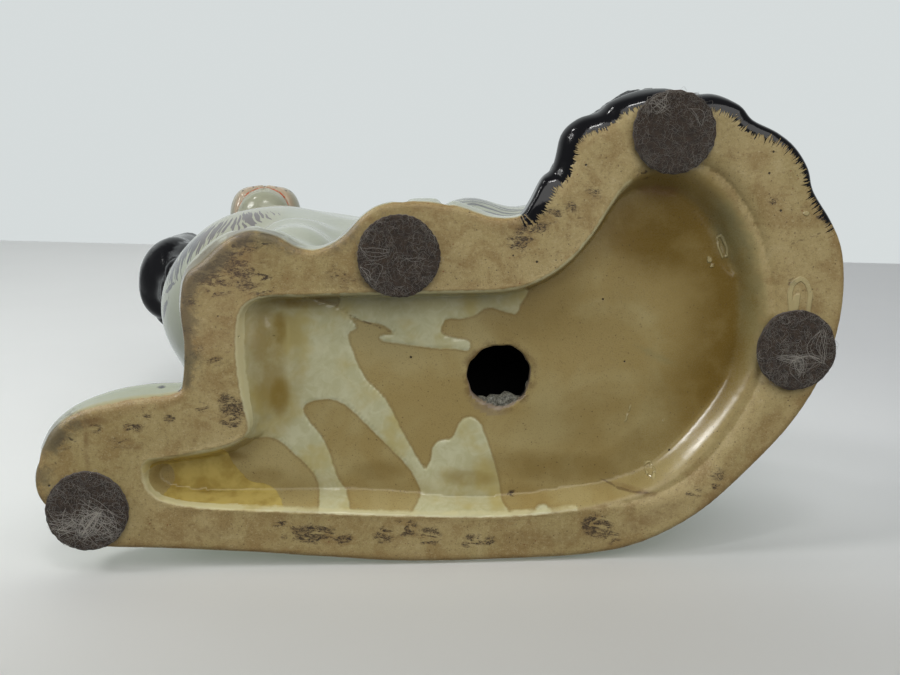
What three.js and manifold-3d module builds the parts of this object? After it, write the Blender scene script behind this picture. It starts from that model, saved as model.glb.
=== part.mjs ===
// A seated pottery spaniel standing on a hollowed foot ring, with four felt pads under it.
// Millimetres. +Z is up. The face looks to -Y, the flat back is at +Y, the tail lies at +X.
// The dog is one body, written as a distance field that is negative inside the pottery.

import * as THREE from 'three';
import { edgeTable, triTable } from 'three/addons/objects/MarchingCubes.js';
import { mergeVertices } from 'three/addons/utils/BufferGeometryUtils.js';
import Module from 'manifold-3d';

// Driving dimensions.
const PAD_DIAMETER = 25.4;      // one inch felt disc
const PAD_THICKNESS = 2.4;
const PAD_GAP = 0.3;
const RIM_Z = PAD_THICKNESS + PAD_GAP;   // underside of the pottery above the table
const CENTRE_X = -6.7;          // middle of the whole figure in the drawing's axes
const CENTRE_Y = -0.9;
const HOLE = { x: 16.5, y: 14.9, radius: 10, top: 60 };
const RECESS_DEPTH = 9.5;
const BACK_Y = 68;              // flat back of the figure
const HEAD = [-76, 22, 262];    // middle of the head between the ears
const GRID = 2.2;               // sampling step of the surface
const TRIANGLES = 8200;         // facets kept on the dog

// Outline of the foot ring on the table, clockwise seen from below, from the inner corner
// of the far paw round the back, the rump, the tail, the hind foot and the near paw.
const OUTLINE = [
  [-81.6, 13], [-84.2, 17.2], [-99, 20.2], [-113, 22.7], [-120.8, 27.6], [-124.4, 33.6],
  [-127.2, 42], [-127, 48], [-124, 54], [-122.8, 60], [-118, 63.8], [-108, 65.8],
  [-90, 66.8], [-64, 68.6], [-38, 71], [-12, 73], [18, 73], [44, 72], [62, 68.4],
  [80, 59], [96, 44.5], [110, 28.5], [119.5, 11], [123.5, -8], [122.6, -24],
  [118.6, -34], [112.6, -43.6], [110.6, -50.5], [106.2, -57], [100.2, -61.6],
  [92.6, -65.2], [88.6, -69.6], [81, -72.8], [74.2, -73], [66, -75], [56, -73.6],
  [49.4, -70.8], [46, -67.6], [39.6, -65.3], [34.6, -60.6], [32.2, -51.2],
  [28.4, -47.6], [24.4, -40], [21, -36.4], [12.5, -36.4], [2, -39.8], [-10, -41.2],
  [-20, -40.4], [-26, -37], [-32.5, -30.4], [-40, -26.8], [-46, -27.6], [-52, -31],
  [-60, -32.6], [-67, -29.6], [-74, -23], [-79.6, -19], [-81.4, -9], [-80.8, 1],
];

// Lip of the hollow under the figure, with its groove running out into the far paw.
const LIP = [
  [-94.6, 42.5], [-93.4, 38.2], [-86, 37], [-72.5, 34.6], [-65, 32], [-61.8, 28],
  [-63.4, 19], [-64.6, 8], [-64.4, -4], [-62, -10], [-56, -12.6], [-44, -13],
  [-15, -13.5], [8, -13.7], [16, -14], [23, -15.2], [30, -18.2], [37, -23.2], [43.6, -31],
  [48.9, -39.5], [53, -45.4], [59, -50], [67, -51.5], [78, -49.5], [88, -40.5], [95.5, -27],
  [100, -8], [98.5, 7], [93.5, 22], [81, 40.5], [66, 51.2], [50, 55.2], [38, 56.8], [16, 58.2],
  [-16, 57.2], [-48, 55.3], [-78, 53.3], [-88.5, 51], [-93.2, 47.5],
];

// Where the wall of the hollow meets its ceiling: far from the lip at the rump, close to it elsewhere.
const FOOT = [
  [-54, -8.6], [-44, -10.4], [-15, -10.9], [8, -11], [16, -11.2], [23.5, -12.4], [31.5, -15.6],
  [39, -21.2], [46, -29.6], [51.2, -37.6], [55, -41.8], [60, -43.9], [66, -44], [72.7, -41.2],
  [79.3, -35.8], [85.3, -28], [91, -16.8], [93, -5.6], [91.3, 10.7], [86, 22.1], [78.2, 32],
  [70, 40.8], [62, 46.4], [49.6, 50.6], [39.8, 52], [30, 53.2], [17, 54.6], [0, 54.2], [-8, 53.2],
  [-20, 51.9], [-35, 51], [-58, 51], [-68, 51], [-79, 50.4], [-88, 48.6], [-91, 46.2],
  [-91, 43.8], [-87.9, 41.6], [-78.5, 40.3], [-70.6, 39], [-64.2, 36.2], [-58, 32.5], [-53.4, 28],
  [-50.8, 22], [-49.6, 16], [-49.3, 5.6], [-50.4, -4],
];

// The brush of the tail lies before the haunch: centre, half width and half height.
const TAIL = [
  [31, -34, 10, 4.5, 8], [41, -46, 14, 8, 13.5], [51, -53.5, 18.5, 12, 19.5],
  [63, -57.5, 23, 15, 26], [78, -55, 27, 16.5, 31], [92, -44, 31, 17, 35],
  [100, -27, 35, 17, 38], [97, -6, 40, 16, 36],
];
// Bearings, seen from the middle of the tail, of the partings between its locks.
const TAIL_CENTRE = [72, -20];
const PARTINGS = [150, 198.4, 218.1, 241.5, 275.5, 295.1, 329.6, 370.7, 400, 510];

const PADS = {
  felt_pad_far_paw: [-111.8, 53.2],
  felt_pad_hind_foot: [-15.4, -24.9],
  felt_pad_tail: [67.5, -61.6],
  felt_pad_rump: [108.4, 5.5],
};

// Small helpers for shaping.
const clamp = (v, lo, hi) => Math.min(hi, Math.max(lo, v));
const mix = (a, b, t) => a + (b - a) * t;
const step = (t) => {
  const s = clamp(t, 0, 1);
  return s * s * (3 - 2 * s);
};
const bell = (w, width) => Math.exp(-((w / width) ** 2));
const blend = (a, b, k) => {
  const h = clamp(0.5 + 0.5 * (b - a) / k, 0, 1);
  return mix(b, a, h) - k * h * (1 - h);
};
const carve = (a, b, k) => -blend(-a, -b, k);
const ridge = (phase, sharp) => Math.abs(Math.cos(phase)) ** sharp;

// A point turned by an angle about one axis through a centre.
function turned(p, c, axis, degrees) {
  const angle = THREE.MathUtils.degToRad(degrees);
  const [i, j] = { x: [1, 2], y: [2, 0], z: [0, 1] }[axis];
  const q = [...p];
  const u = p[i] - c[i];
  const v = p[j] - c[j];
  q[i] = c[i] + Math.cos(angle) * u + Math.sin(angle) * v;
  q[j] = c[j] - Math.sin(angle) * u + Math.cos(angle) * v;
  return q;
}

function ellipsoid(p, c, r) {
  const qx = (p[0] - c[0]) / r[0];
  const qy = (p[1] - c[1]) / r[1];
  const qz = (p[2] - c[2]) / r[2];
  const k = Math.hypot(qx, qy, qz);
  return k * (k - 1) / (Math.hypot(qx / r[0], qy / r[1], qz / r[2]) + 1e-9);
}

function cone(p, a, b, ra, rb) {
  const ab = [b[0] - a[0], b[1] - a[1], b[2] - a[2]];
  const ap = [p[0] - a[0], p[1] - a[1], p[2] - a[2]];
  const dot = ap[0] * ab[0] + ap[1] * ab[1] + ap[2] * ab[2];
  const h = clamp(dot / (ab[0] ** 2 + ab[1] ** 2 + ab[2] ** 2), 0, 1);
  return Math.hypot(ap[0] - h * ab[0], ap[1] - h * ab[1], ap[2] - h * ab[2]) - mix(ra, rb, h);
}

// A chain of cones through [x, y, z, radius] knots.
function limb(p, knots, k) {
  let d = Infinity;
  for (let i = 1; i < knots.length; i++) {
    const e = cone(p, knots[i - 1], knots[i], knots[i - 1][3], knots[i][3]);
    d = i === 1 ? e : blend(d, e, k);
  }
  return d;
}

// Signed distance to a closed smooth outline, kept as a table with straight interpolation.
function outlineField(points, perSpan) {
  const curve = new THREE.CatmullRomCurve3(
    points.map(([x, y]) => new THREE.Vector3(x, y, 0)), true, 'catmullrom', 0.5);
  const ring = curve.getPoints(points.length * perSpan);
  ring.pop();
  const cell = 0.75;
  const reach = 60;
  const box = new THREE.Box3().setFromPoints(ring).expandByScalar(reach);
  const nx = Math.ceil((box.max.x - box.min.x) / cell) + 2;
  const ny = Math.ceil((box.max.y - box.min.y) / cell) + 2;
  const table = new Float32Array(nx * ny);
  for (let j = 0; j < ny; j++) {
    for (let i = 0; i < nx; i++) {
      const x = box.min.x + i * cell;
      const y = box.min.y + j * cell;
      let best = Infinity;
      let inside = false;
      for (let k = 0, m = ring.length - 1; k < ring.length; m = k++) {
        const a = ring[k];
        const b = ring[m];
        const ex = b.x - a.x;
        const ey = b.y - a.y;
        const h = clamp(((x - a.x) * ex + (y - a.y) * ey) / (ex * ex + ey * ey), 0, 1);
        best = Math.min(best, (x - a.x - ex * h) ** 2 + (y - a.y - ey * h) ** 2);
        if ((a.y > y) !== (b.y > y) && x < a.x + ex * (y - a.y) / ey) inside = !inside;
      }
      table[j * nx + i] = (inside ? -1 : 1) * Math.sqrt(best);
    }
  }
  return (x, y) => {
    const u = clamp((x - box.min.x) / cell, 0, nx - 1.001);
    const v = clamp((y - box.min.y) / cell, 0, ny - 1.001);
    const i = Math.floor(u);
    const j = Math.floor(v);
    const q = j * nx + i;
    return mix(mix(table[q], table[q + 1], u - i), mix(table[q + nx], table[q + nx + 1], u - i), v - j);
  };
}
const outline = outlineField(OUTLINE, 4);
const lip = outlineField(LIP, 4);
const wallFoot = outlineField(FOOT, 4);

// The foot ring and the ground the dog sits on. It rises behind into the lower rump.
function ground(p) {
  const rise = step((p[0] + 30) / 95) * step((p[1] + 22) / 34);
  const round = 6 + 27 * rise;
  const across = outline(p[0], p[1]) + round;
  const along = p[2] - 15 - 46 * rise + round;
  return Math.hypot(Math.max(across, 0), Math.max(along, 0)) + Math.min(Math.max(across, along), 0) - round;
}

// Trunk, haunch, the flesh between haunch and tail, and the two front legs.
function body(p) {
  let d = ellipsoid(turned(p, [46, 16, 58], 'y', 8), [46, 16, 58], [68, 50, 66]);
  d = blend(d, ellipsoid(turned(p, [-2, 18, 116], 'y', -36), [-2, 18, 116], [66, 45, 84]), 18);
  d = blend(d, ellipsoid(p, [-63, 12, 148], [48, 41, 60]), 14);
  d = blend(d, ellipsoid(p, [-28, 20, 58], [52, 38, 62]), 12);
  d = blend(d, cone(p, [-58, 24, 184], [-71, 26, 244], 44, 33), 18);
  d = blend(d, cone(p, [-30, 24, 168], [-52, 28, 224], 40, 26), 18);
  d = blend(d, ellipsoid(turned(p, [43, -3, 58], 'y', -12), [43, -3, 58], [43, 33, 50]), 8);
  d = blend(d, ellipsoid(p, [11, -8, 60], [23, 30, 36]), 6);
  d = blend(d, limb(p, [[64, -36, 24, 12], [80, -32, 30, 14], [90, -14, 38, 14]], 6), 6);
  const near = [[-54, -4, 146, 19], [-52, -10, 100, 17], [-50, -13, 45, 15.5], [-52, -12, 24, 16]];
  d = blend(d, limb(p, near, 6), 8);
  const far = [[-80, 34, 146, 19], [-75, 38, 100, 18], [-75, 38, 45, 17], [-77, 38, 22, 18]];
  d = blend(d, limb(p, far, 6), 8);
  return carve(d, p[1] - BACK_Y + 0.04 * Math.max(0, p[2] - 40), 8);
}

// How far the edge of the foot ring is rounded off. It is most under the front of the tail.
function underTail([x, y]) {
  return step((x - 24) / 10) * step((-30 - y) / 14) * (1 - 0.8 * step((x - 70) / 24));
}

function paws(p, d) {
  let e = blend(d, ellipsoid(p, [-61, -9, 13], [20.5, 23, 13.5]), 5);
  e = blend(e, ellipsoid(turned(p, [-98, 40, 13], 'z', -16), [-98, 40, 13], [30, 23, 15]), 6);
  e = blend(e, ellipsoid(p, [-6, -17, 13], [29, 23, 14]), 5);
  return blend(e, ellipsoid(p, [8, -14, 28], [26, 19, 26]), 10);
}

// Depth of the grooves between the toes.
function toes([x, y, z]) {
  const low = step((30 - z) / 6) * step((z - RIM_Z) / 6);
  const far = bell(y - 38 - 0.06 * (x + 127), 1.7) + bell(y - 53 + 0.1 * (x + 127), 1.7);
  const near = bell(x + 66.5 + 0.1 * y, 1.5) + bell(x + 55, 1.5);
  const hind = bell(x + 14, 1.5) + bell(x + 1, 1.5);
  const nearPart = step((-18 - y) / 6) * step((-40 - x) / 4) * step((z - 8) / 5);
  const hindPart = step((-30 - y) / 6) * step((8 - x) / 4) * step((x + 24) / 4);
  return 1.9 * low * (far * step((-104 - x) / 8) + near * nearPart + hind * hindPart);
}

// Height of the narrow collar moulded round the neck.
function collar([x, y, z]) {
  const level = 211 + 0.32 * (x + 66) + 0.25 * (y - 20);
  return 1.3 * step((3.4 - Math.abs(z - level)) / 1.2);
}

// Thick hair swept forward, parted where the outline on the table is notched.
function tail(p) {
  let d = Infinity;
  for (let i = 1; i < TAIL.length; i++) {
    const a = TAIL[i - 1];
    const b = TAIL[i];
    const abx = b[0] - a[0];
    const aby = b[1] - a[1];
    const h = clamp(((p[0] - a[0]) * abx + (p[1] - a[1]) * aby) / (abx ** 2 + aby ** 2), 0, 1);
    const width = mix(a[3], b[3], h);
    const dz = (p[2] - mix(a[2], b[2], h)) * width / mix(a[4], b[4], h);
    const e = Math.hypot(p[0] - a[0] - h * abx, p[1] - a[1] - h * aby, dz) - width;
    d = i === 1 ? e : blend(d, e, 4);
  }
  let bearing = THREE.MathUtils.radToDeg(Math.atan2(p[1] - TAIL_CENTRE[1], p[0] - TAIL_CENTRE[0]));
  bearing = (bearing + 360) % 360;
  if (bearing < PARTINGS[0]) bearing += 360;
  let n = 1;
  while (n < PARTINGS.length - 1 && bearing > PARTINGS[n]) n++;
  let phase = n - 2 + (bearing - PARTINGS[n - 1]) / (PARTINGS[n] - PARTINGS[n - 1]);
  phase += 0.35 * Math.sin(p[2] * 0.1) - 0.045 * Math.max(p[2] - 6, 0);
  const fine = ridge((phase * 2 - 0.3 + 0.03 * p[2]) * Math.PI, 0.7) - 0.6;
  return d - 3.6 * (ridge((phase - 0.5) * Math.PI, 0.65) - 0.62) - 1.1 * fine * clamp((p[2] - 8) / 10, 0, 1);
}

// One long hanging ear with waved locks. The other is its mirror image.
function ear(p) {
  const side = -7.5;
  const x = p[0] - HEAD[0];
  const y = p[1] - HEAD[1] - side;
  const z = p[2] - HEAD[2];
  const knots = [
    [24, 0, 45, 8], [38, 0, 36, 11], [43, 0, 14, 13.5], [45, 0, -8, 15], [43, 0, -30, 15], [38, 0, -46, 10.5],
  ];
  const d = limb([x, y * 0.76, z], knots, 5);
  const worked = step((36 - z) / 30) * step((x - 28) / 14);
  const lock = ridge(1.6 * Math.atan2(y, x - 36) + 0.06 * z + 2.3, 0.8) - 0.6;
  return d - worked * (2.6 * lock + 1.2 * Math.sin(z * 0.21 + 1.2 + 0.05 * y));
}

function head(p) {
  const q = [p[0] - HEAD[0], p[1] - HEAD[1], p[2] - HEAD[2]];
  let d = ellipsoid(q, [0, 2, 22], [36, 37, 41]);
  d = blend(d, ellipsoid(q, [16, -4, -6], [23, 25, 26]), 12);
  d = blend(d, ellipsoid(q, [0, -18, 12], [22, 16, 26]), 9);
  d = blend(d, cone(q, [0, -38, -6], [0, -22, 14], 9, 13), 6);
  d = blend(d, ellipsoid(q, [0, -31, -15], [17.5, 21, 16]), 6);
  const lips = [7.2, -41.8, -15.5];
  d = blend(d, ellipsoid(turned(q, lips, 'z', 14), lips, [9.2, 11.2, 10]), 6);
  d = blend(d, ellipsoid(q, [0, -42.5, -15.5], [5.5, 10.5, 8]), 5);
  d = blend(d, ellipsoid(q, [0, -34, -27], [13.8, 18, 8.5]), 4);
  d = blend(d, ellipsoid(q, [0, -45, -4], [7.6, 6, 5.8]), 3);
  const brow = [15, -26, 22];
  d = blend(d, ellipsoid(turned(turned(q, brow, 'z', 22), brow, 'y', -14), brow, [12.5, 7, 4.5]), 6);
  d = carve(d, -cone(q, [15.5, -38, 9.5], [15, -33, 8.5], 7, 5), 6);
  d = blend(d, ellipsoid(q, [14.8, -27.6, 9.5], [7.4, 5.6, 5.8]), 1.5);
  const lid = [14.8, -28.6, 4];
  return blend(d, ellipsoid(turned(q, lid, 'z', 18), lid, [9, 4.6, 2.4]), 3);
}

// Depth of the mouth, the parting of the lip, the nostrils and the furrow of the brow.
function faceLines(p) {
  const x = p[0] - HEAD[0];
  const y = p[1] - HEAD[1];
  const z = p[2] - HEAD[2];
  const mouthHeight = z + 17.5 + 0.35 * x + 0.02 * x * x;
  const mouth = bell(mouthHeight, 1.1) * step((18 - x) / 3) * step((-22 - y) / 6);
  const parting = 0.5 * bell(x, 1.0) * step((-9 - z) / 3) * step((z + 25) / 2) * step((-30 - y) / 6);
  const nostril = 1.6 * bell(Math.hypot(x - 3.6, z + 6), 1.5) * step((-40 - y) / 3);
  const furrow = 2.4 * bell(x, 3.2) * step((z - 14) / 8) * step((52 - z) / 14) * step((-8 - y) / 12);
  return mouth + parting + nostril + furrow;
}

// The hollow under the figure: a cove at the left, steep walls at the paws, a soft bowl at the rump.
function hollow([x, y, z]) {
  const edge = lip(x, y);
  const inside = Math.max(-edge, 0);
  const t = inside / Math.max(inside + Math.max(wallFoot(x, y), 0), 1e-3);
  const bowl = step((x - 40) / 30);
  const cove = step((-46 - x) / 8) * step((34 - y) / 6);
  const steep = mix(0.6 * t + 0.4 * step(t), step(t), bowl);
  const depth = mix(steep, 1 - (1 - t) ** 2.2, cove);
  return Math.max(z - RIM_Z - RECESS_DEPTH * depth, edge);
}

function dog(p) {
  const mirrored = [HEAD[0] + Math.abs(p[0] - HEAD[0]), p[1], p[2]];
  let d = blend(body(p), ground(p), 12);
  d = paws(p, d) - collar(p);
  d = blend(d, ellipsoid(p, [-79, -14, 201], [6, 5, 6.5]), 1.2);
  d = blend(d, tail(p), 3);
  d = blend(d, head(mirrored), 9) + faceLines(mirrored);
  d = blend(d, ear(mirrored), 3) + toes(p);
  d = carve(d, RIM_Z - p[2], 2.2 + 7 * underTail(p));
  return carve(d, -hollow(p), 1.4 + 7 * step((p[0] - 45) / 40));
}

// The surface where the field crosses zero, one shared vertex on each crossed grid edge.
function contour(field, lo, hi, h) {
  const n = [0, 1, 2].map((k) => Math.ceil((hi[k] - lo[k]) / h) + 1);
  const offset = [1, n[0], n[0] * n[1]];
  const value = new Float32Array(n[0] * n[1] * n[2]);
  // blocks of the grid far from the surface take the value at their middle
  const block = 6;
  const near = block * h * 1.5;
  const at = (i, j, k) => field([lo[0] + i * h, lo[1] + j * h, lo[2] + k * h]);
  for (let k = 0; k < n[2]; k += block) {
    for (let j = 0; j < n[1]; j += block) {
      for (let i = 0; i < n[0]; i += block) {
        const rough = at(i + block / 2, j + block / 2, k + block / 2);
        for (let c = k; c < Math.min(k + block, n[2]); c++) {
          for (let b = j; b < Math.min(j + block, n[1]); b++) {
            for (let a = i; a < Math.min(i + block, n[0]); a++) {
              value[a + b * offset[1] + c * offset[2]] = Math.abs(rough) < near ? at(a, b, c) : rough;
            }
          }
        }
      }
    }
  }
  const corner = [0, offset[0], offset[0] + offset[1], offset[1]];
  for (let k = 0; k < 4; k++) corner.push(corner[k] + offset[2]);
  // each edge of a cell as its low corner and its axis
  const edges = [[0, 0], [1, 1], [3, 0], [0, 1], [4, 0], [5, 1], [7, 0], [4, 1], [0, 2], [1, 2], [2, 2], [3, 2]];
  const seen = new Map();
  const vertices = [];
  const faces = [];
  const vertexOn = (q, axis) => {
    const key = q * 3 + axis;
    if (!seen.has(key)) {
      const a = value[q];
      const t = clamp(a / (a - value[q + offset[axis]]), 0.02, 0.98);
      const at = [q % n[0], Math.floor(q / n[0]) % n[1], Math.floor(q / offset[2])];
      at[axis] += t;
      seen.set(key, vertices.length / 3);
      vertices.push(lo[0] + at[0] * h, lo[1] + at[1] * h, lo[2] + at[2] * h);
    }
    return seen.get(key);
  };
  for (let k = 0; k < n[2] - 1; k++) {
    for (let j = 0; j < n[1] - 1; j++) {
      for (let i = 0; i < n[0] - 1; i++) {
        const q = i + j * n[0] + k * offset[2];
        let index = 0;
        for (let c = 0; c < 8; c++) if (value[q + corner[c]] < 0) index |= 1 << c;
        if (edgeTable[index] === 0) continue;
        for (let t = index * 16; triTable[t] !== -1; t += 3) {
          const face = [0, 1, 2].map((s) => {
            const [from, axis] = edges[triTable[t + s]];
            return vertexOn(q + corner[from], axis);
          });
          faces.push(face.reverse());
        }
      }
    }
  }
  return { vertices, faces };
}

// Edge collapse by least squared distance to the planes met so far, down to a face count.
function simplify({ vertices, faces }, target) {
  const count = vertices.length / 3;
  const quadric = new Float64Array(count * 10);
  const around = Array.from({ length: count }, () => new Set());
  const stamp = new Int32Array(count);
  const alive = new Uint8Array(faces.length).fill(1);
  let left = faces.length;
  const point = (v) => [vertices[3 * v], vertices[3 * v + 1], vertices[3 * v + 2]];
  const normalOf = (a, b, c) => {
    const u = [b[0] - a[0], b[1] - a[1], b[2] - a[2]];
    const w = [c[0] - a[0], c[1] - a[1], c[2] - a[2]];
    return [u[1] * w[2] - u[2] * w[1], u[2] * w[0] - u[0] * w[2], u[0] * w[1] - u[1] * w[0]];
  };
  faces.forEach((f, id) => {
    const [a, b, c] = f.map(point);
    const normal = normalOf(a, b, c);
    const area = Math.hypot(...normal) || 1e-12;
    const [x, y, z] = normal.map((v) => v / area);
    const w = -(x * a[0] + y * a[1] + z * a[2]);
    const terms = [x * x, x * y, x * z, x * w, y * y, y * z, y * w, z * z, z * w, w * w];
    for (const v of f) {
      around[v].add(id);
      for (let k = 0; k < 10; k++) quadric[v * 10 + k] += terms[k] * area;
    }
  });
  const joined = new Float64Array(10);
  const cost = ([x, y, z]) => {
    const q = joined;
    return q[0] * x * x + 2 * q[1] * x * y + 2 * q[2] * x * z + 2 * q[3] * x + q[4] * y * y
      + 2 * q[5] * y * z + 2 * q[6] * y + q[7] * z * z + 2 * q[8] * z + q[9];
  };
  const solver = new THREE.Matrix3();
  const place = (a, b) => {
    for (let k = 0; k < 10; k++) joined[k] = quadric[a * 10 + k] + quadric[b * 10 + k];
    const q = joined;
    const pa = point(a);
    const pb = point(b);
    const middle = pa.map((v, k) => (v + pb[k]) / 2);
    const length = Math.hypot(pa[0] - pb[0], pa[1] - pb[1], pa[2] - pb[2]);
    const options = [middle, pa, pb];
    solver.set(q[0], q[1], q[2], q[1], q[4], q[5], q[2], q[5], q[7]);
    if (Math.abs(solver.determinant()) > 1e-6 * (q[0] + q[4] + q[7]) ** 3) {
      const best = new THREE.Vector3(-q[3], -q[6], -q[8]).applyMatrix3(solver.invert()).toArray();
      if (Math.hypot(...best.map((v, k) => v - middle[k])) < length) options.unshift(best);
    }
    let chosen = options[0];
    let least = Infinity;
    for (const option of options) {
      const c = cost(option);
      if (c < least) {
        least = c;
        chosen = option;
      }
    }
    return { chosen, least: Math.max(least, 0) + 1e-5 * length * length };
  };
  // waiting edges, the cheapest on top
  const heap = [];
  const swap = (i, j) => {
    const kept = heap[i];
    heap[i] = heap[j];
    heap[j] = kept;
  };
  const push = (item) => {
    heap.push(item);
    for (let i = heap.length - 1; i > 0;) {
      const up = (i - 1) >> 1;
      if (heap[up].least <= heap[i].least) break;
      swap(i, up);
      i = up;
    }
  };
  const pop = () => {
    swap(0, heap.length - 1);
    const top = heap.pop();
    for (let i = 0; ;) {
      let low = 2 * i + 1;
      if (low >= heap.length) break;
      if (low + 1 < heap.length && heap[low + 1].least < heap[low].least) low++;
      if (heap[i].least <= heap[low].least) break;
      swap(i, low);
      i = low;
    }
    return top;
  };
  const ringOf = (v) => {
    const ring = new Set();
    for (const id of around[v]) for (const w of faces[id]) if (w !== v) ring.add(w);
    return ring;
  };
  const queue = (a, b) => {
    const { chosen, least } = place(a, b);
    push({ a, b, chosen, least, stamp: stamp[a] + stamp[b] });
  };
  for (const [a, b, c] of faces) {
    if (a < b) queue(a, b);
    if (b < c) queue(b, c);
    if (c < a) queue(c, a);
  }
  const flips = (v, other, at) => {
    for (const id of around[v]) {
      const f = faces[id];
      if (f.includes(other)) continue;
      const before = normalOf(...f.map(point));
      const after = normalOf(...f.map((w) => (w === v ? at : point(w))));
      const dot = before[0] * after[0] + before[1] * after[1] + before[2] * after[2];
      if (dot < 0.2 * Math.hypot(...before) * Math.hypot(...after) || Math.hypot(...after) < 0.02) return true;
    }
    return false;
  };
  const gone = new Uint8Array(count);
  while (left > target && heap.length) {
    const { a, b, chosen, stamp: made } = pop();
    if (gone[a] || gone[b] || made !== stamp[a] + stamp[b]) continue;
    const ringB = ringOf(b);
    if (!ringB.has(a)) continue;
    const shared = [...ringOf(a)].filter((v) => ringB.has(v));
    if (shared.length !== 2 || flips(a, b, chosen) || flips(b, a, chosen)) continue;
    for (const id of [...around[b]]) {
      const f = faces[id];
      if (f.includes(a)) {
        alive[id] = 0;
        left--;
        for (const v of f) around[v].delete(id);
      } else {
        f[f.indexOf(b)] = a;
        around[a].add(id);
      }
    }
    gone[b] = 1;
    for (let k = 0; k < 10; k++) quadric[a * 10 + k] += quadric[b * 10 + k];
    for (let k = 0; k < 3; k++) vertices[3 * a + k] = chosen[k];
    stamp[a] += 1000;
    for (const v of ringOf(a)) queue(Math.min(a, v), Math.max(a, v));
  }
  return { vertices, faces: faces.filter((f, id) => alive[id]) };
}

function geometryOf({ vertices, faces }) {
  const geometry = new THREE.BufferGeometry();
  geometry.setAttribute('position', new THREE.Float32BufferAttribute(vertices, 3));
  geometry.setIndex(faces.flat());
  return geometry;
}

// Joining and cutting of closed meshes.
const wasm = await Module();
wasm.setup();

function solidOf(geometry) {
  const bare = geometry.clone();
  bare.deleteAttribute('normal');
  bare.deleteAttribute('uv');
  const merged = mergeVertices(bare, 1e-4);
  return new wasm.Manifold(new wasm.Mesh({
    numProp: 3,
    vertProperties: new Float32Array(merged.attributes.position.array),
    triVerts: new Uint32Array(merged.index.array),
  }));
}

function fromSolid(solid) {
  const mesh = solid.getMesh();
  const geometry = new THREE.BufferGeometry();
  geometry.setAttribute('position', new THREE.Float32BufferAttribute(mesh.vertProperties, 3));
  geometry.setIndex(new THREE.Uint32BufferAttribute(mesh.triVerts, 1));
  return geometry.toNonIndexed();
}

// The dog, with the round hole running up into the body from the floor of the hollow.
const surface = simplify(contour(dog, [-142, -82, -2], [130, 80, 334], GRID), TRIANGLES);
const bore = new THREE.CylinderGeometry(HOLE.radius, HOLE.radius, HOLE.top, 40);
bore.rotateX(Math.PI / 2);
bore.translate(HOLE.x, HOLE.y, HOLE.top / 2);
const spanielGeometry = fromSolid(solidOf(geometryOf(surface)).subtract(solidOf(bore)));
spanielGeometry.computeVertexNormals();

const glaze = new THREE.MeshStandardMaterial({ color: 0xdfe2d4, roughness: 0.18, metalness: 0 });
const felt = new THREE.MeshStandardMaterial({ color: 0x3b2c25, roughness: 1, metalness: 0 });

const group = new THREE.Group();
group.position.set(-CENTRE_X, -CENTRE_Y, 0);

const spaniel = new THREE.Mesh(spanielGeometry, glaze);
spaniel.name = 'spaniel';
group.add(spaniel);

// A felt disc with a slightly soft edge, lying flat on the table.
const r = PAD_DIAMETER / 2;
const padProfile = [
  [0, 0], [r - 0.5, 0], [r, 0.5], [r, PAD_THICKNESS - 0.4], [r - 0.4, PAD_THICKNESS], [0, PAD_THICKNESS],
];
for (const [name, [x, y]] of Object.entries(PADS)) {
  const geometry = new THREE.LatheGeometry(padProfile.map(([u, v]) => new THREE.Vector2(u, v)), 36);
  geometry.rotateX(Math.PI / 2);
  const pad = new THREE.Mesh(geometry, felt);
  pad.name = name;
  pad.position.set(x, y, 0);
  group.add(pad);
}

export default group;
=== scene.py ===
# A seated pottery spaniel seen from below, with its glaze, paint and felt pads.
# Forms are worked out in millimetres in the drawing's axes, then moved to the row frame in metres.

import math

import bmesh
import bpy
import numpy as np
from mathutils import Matrix, Vector


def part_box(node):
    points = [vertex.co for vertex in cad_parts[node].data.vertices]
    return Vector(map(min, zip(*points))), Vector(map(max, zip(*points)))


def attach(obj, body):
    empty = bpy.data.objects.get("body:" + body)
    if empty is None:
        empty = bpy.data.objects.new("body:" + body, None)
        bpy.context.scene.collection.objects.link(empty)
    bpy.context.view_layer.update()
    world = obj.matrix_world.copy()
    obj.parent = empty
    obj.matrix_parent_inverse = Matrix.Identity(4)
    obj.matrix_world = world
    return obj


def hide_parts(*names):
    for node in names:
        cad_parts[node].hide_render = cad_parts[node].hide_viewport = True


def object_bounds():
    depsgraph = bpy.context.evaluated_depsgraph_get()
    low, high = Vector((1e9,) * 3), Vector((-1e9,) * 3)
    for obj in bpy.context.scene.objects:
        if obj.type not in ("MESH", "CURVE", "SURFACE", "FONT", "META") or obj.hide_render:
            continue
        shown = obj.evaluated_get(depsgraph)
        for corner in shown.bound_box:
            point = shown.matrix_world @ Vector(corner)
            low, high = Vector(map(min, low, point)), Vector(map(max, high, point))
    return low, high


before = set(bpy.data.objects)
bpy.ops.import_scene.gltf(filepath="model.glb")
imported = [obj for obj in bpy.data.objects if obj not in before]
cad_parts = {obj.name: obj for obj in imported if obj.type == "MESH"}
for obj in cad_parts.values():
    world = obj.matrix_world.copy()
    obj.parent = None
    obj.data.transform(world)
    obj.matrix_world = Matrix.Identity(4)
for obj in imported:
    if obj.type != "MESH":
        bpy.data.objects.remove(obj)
cad_low, cad_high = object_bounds()

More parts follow.
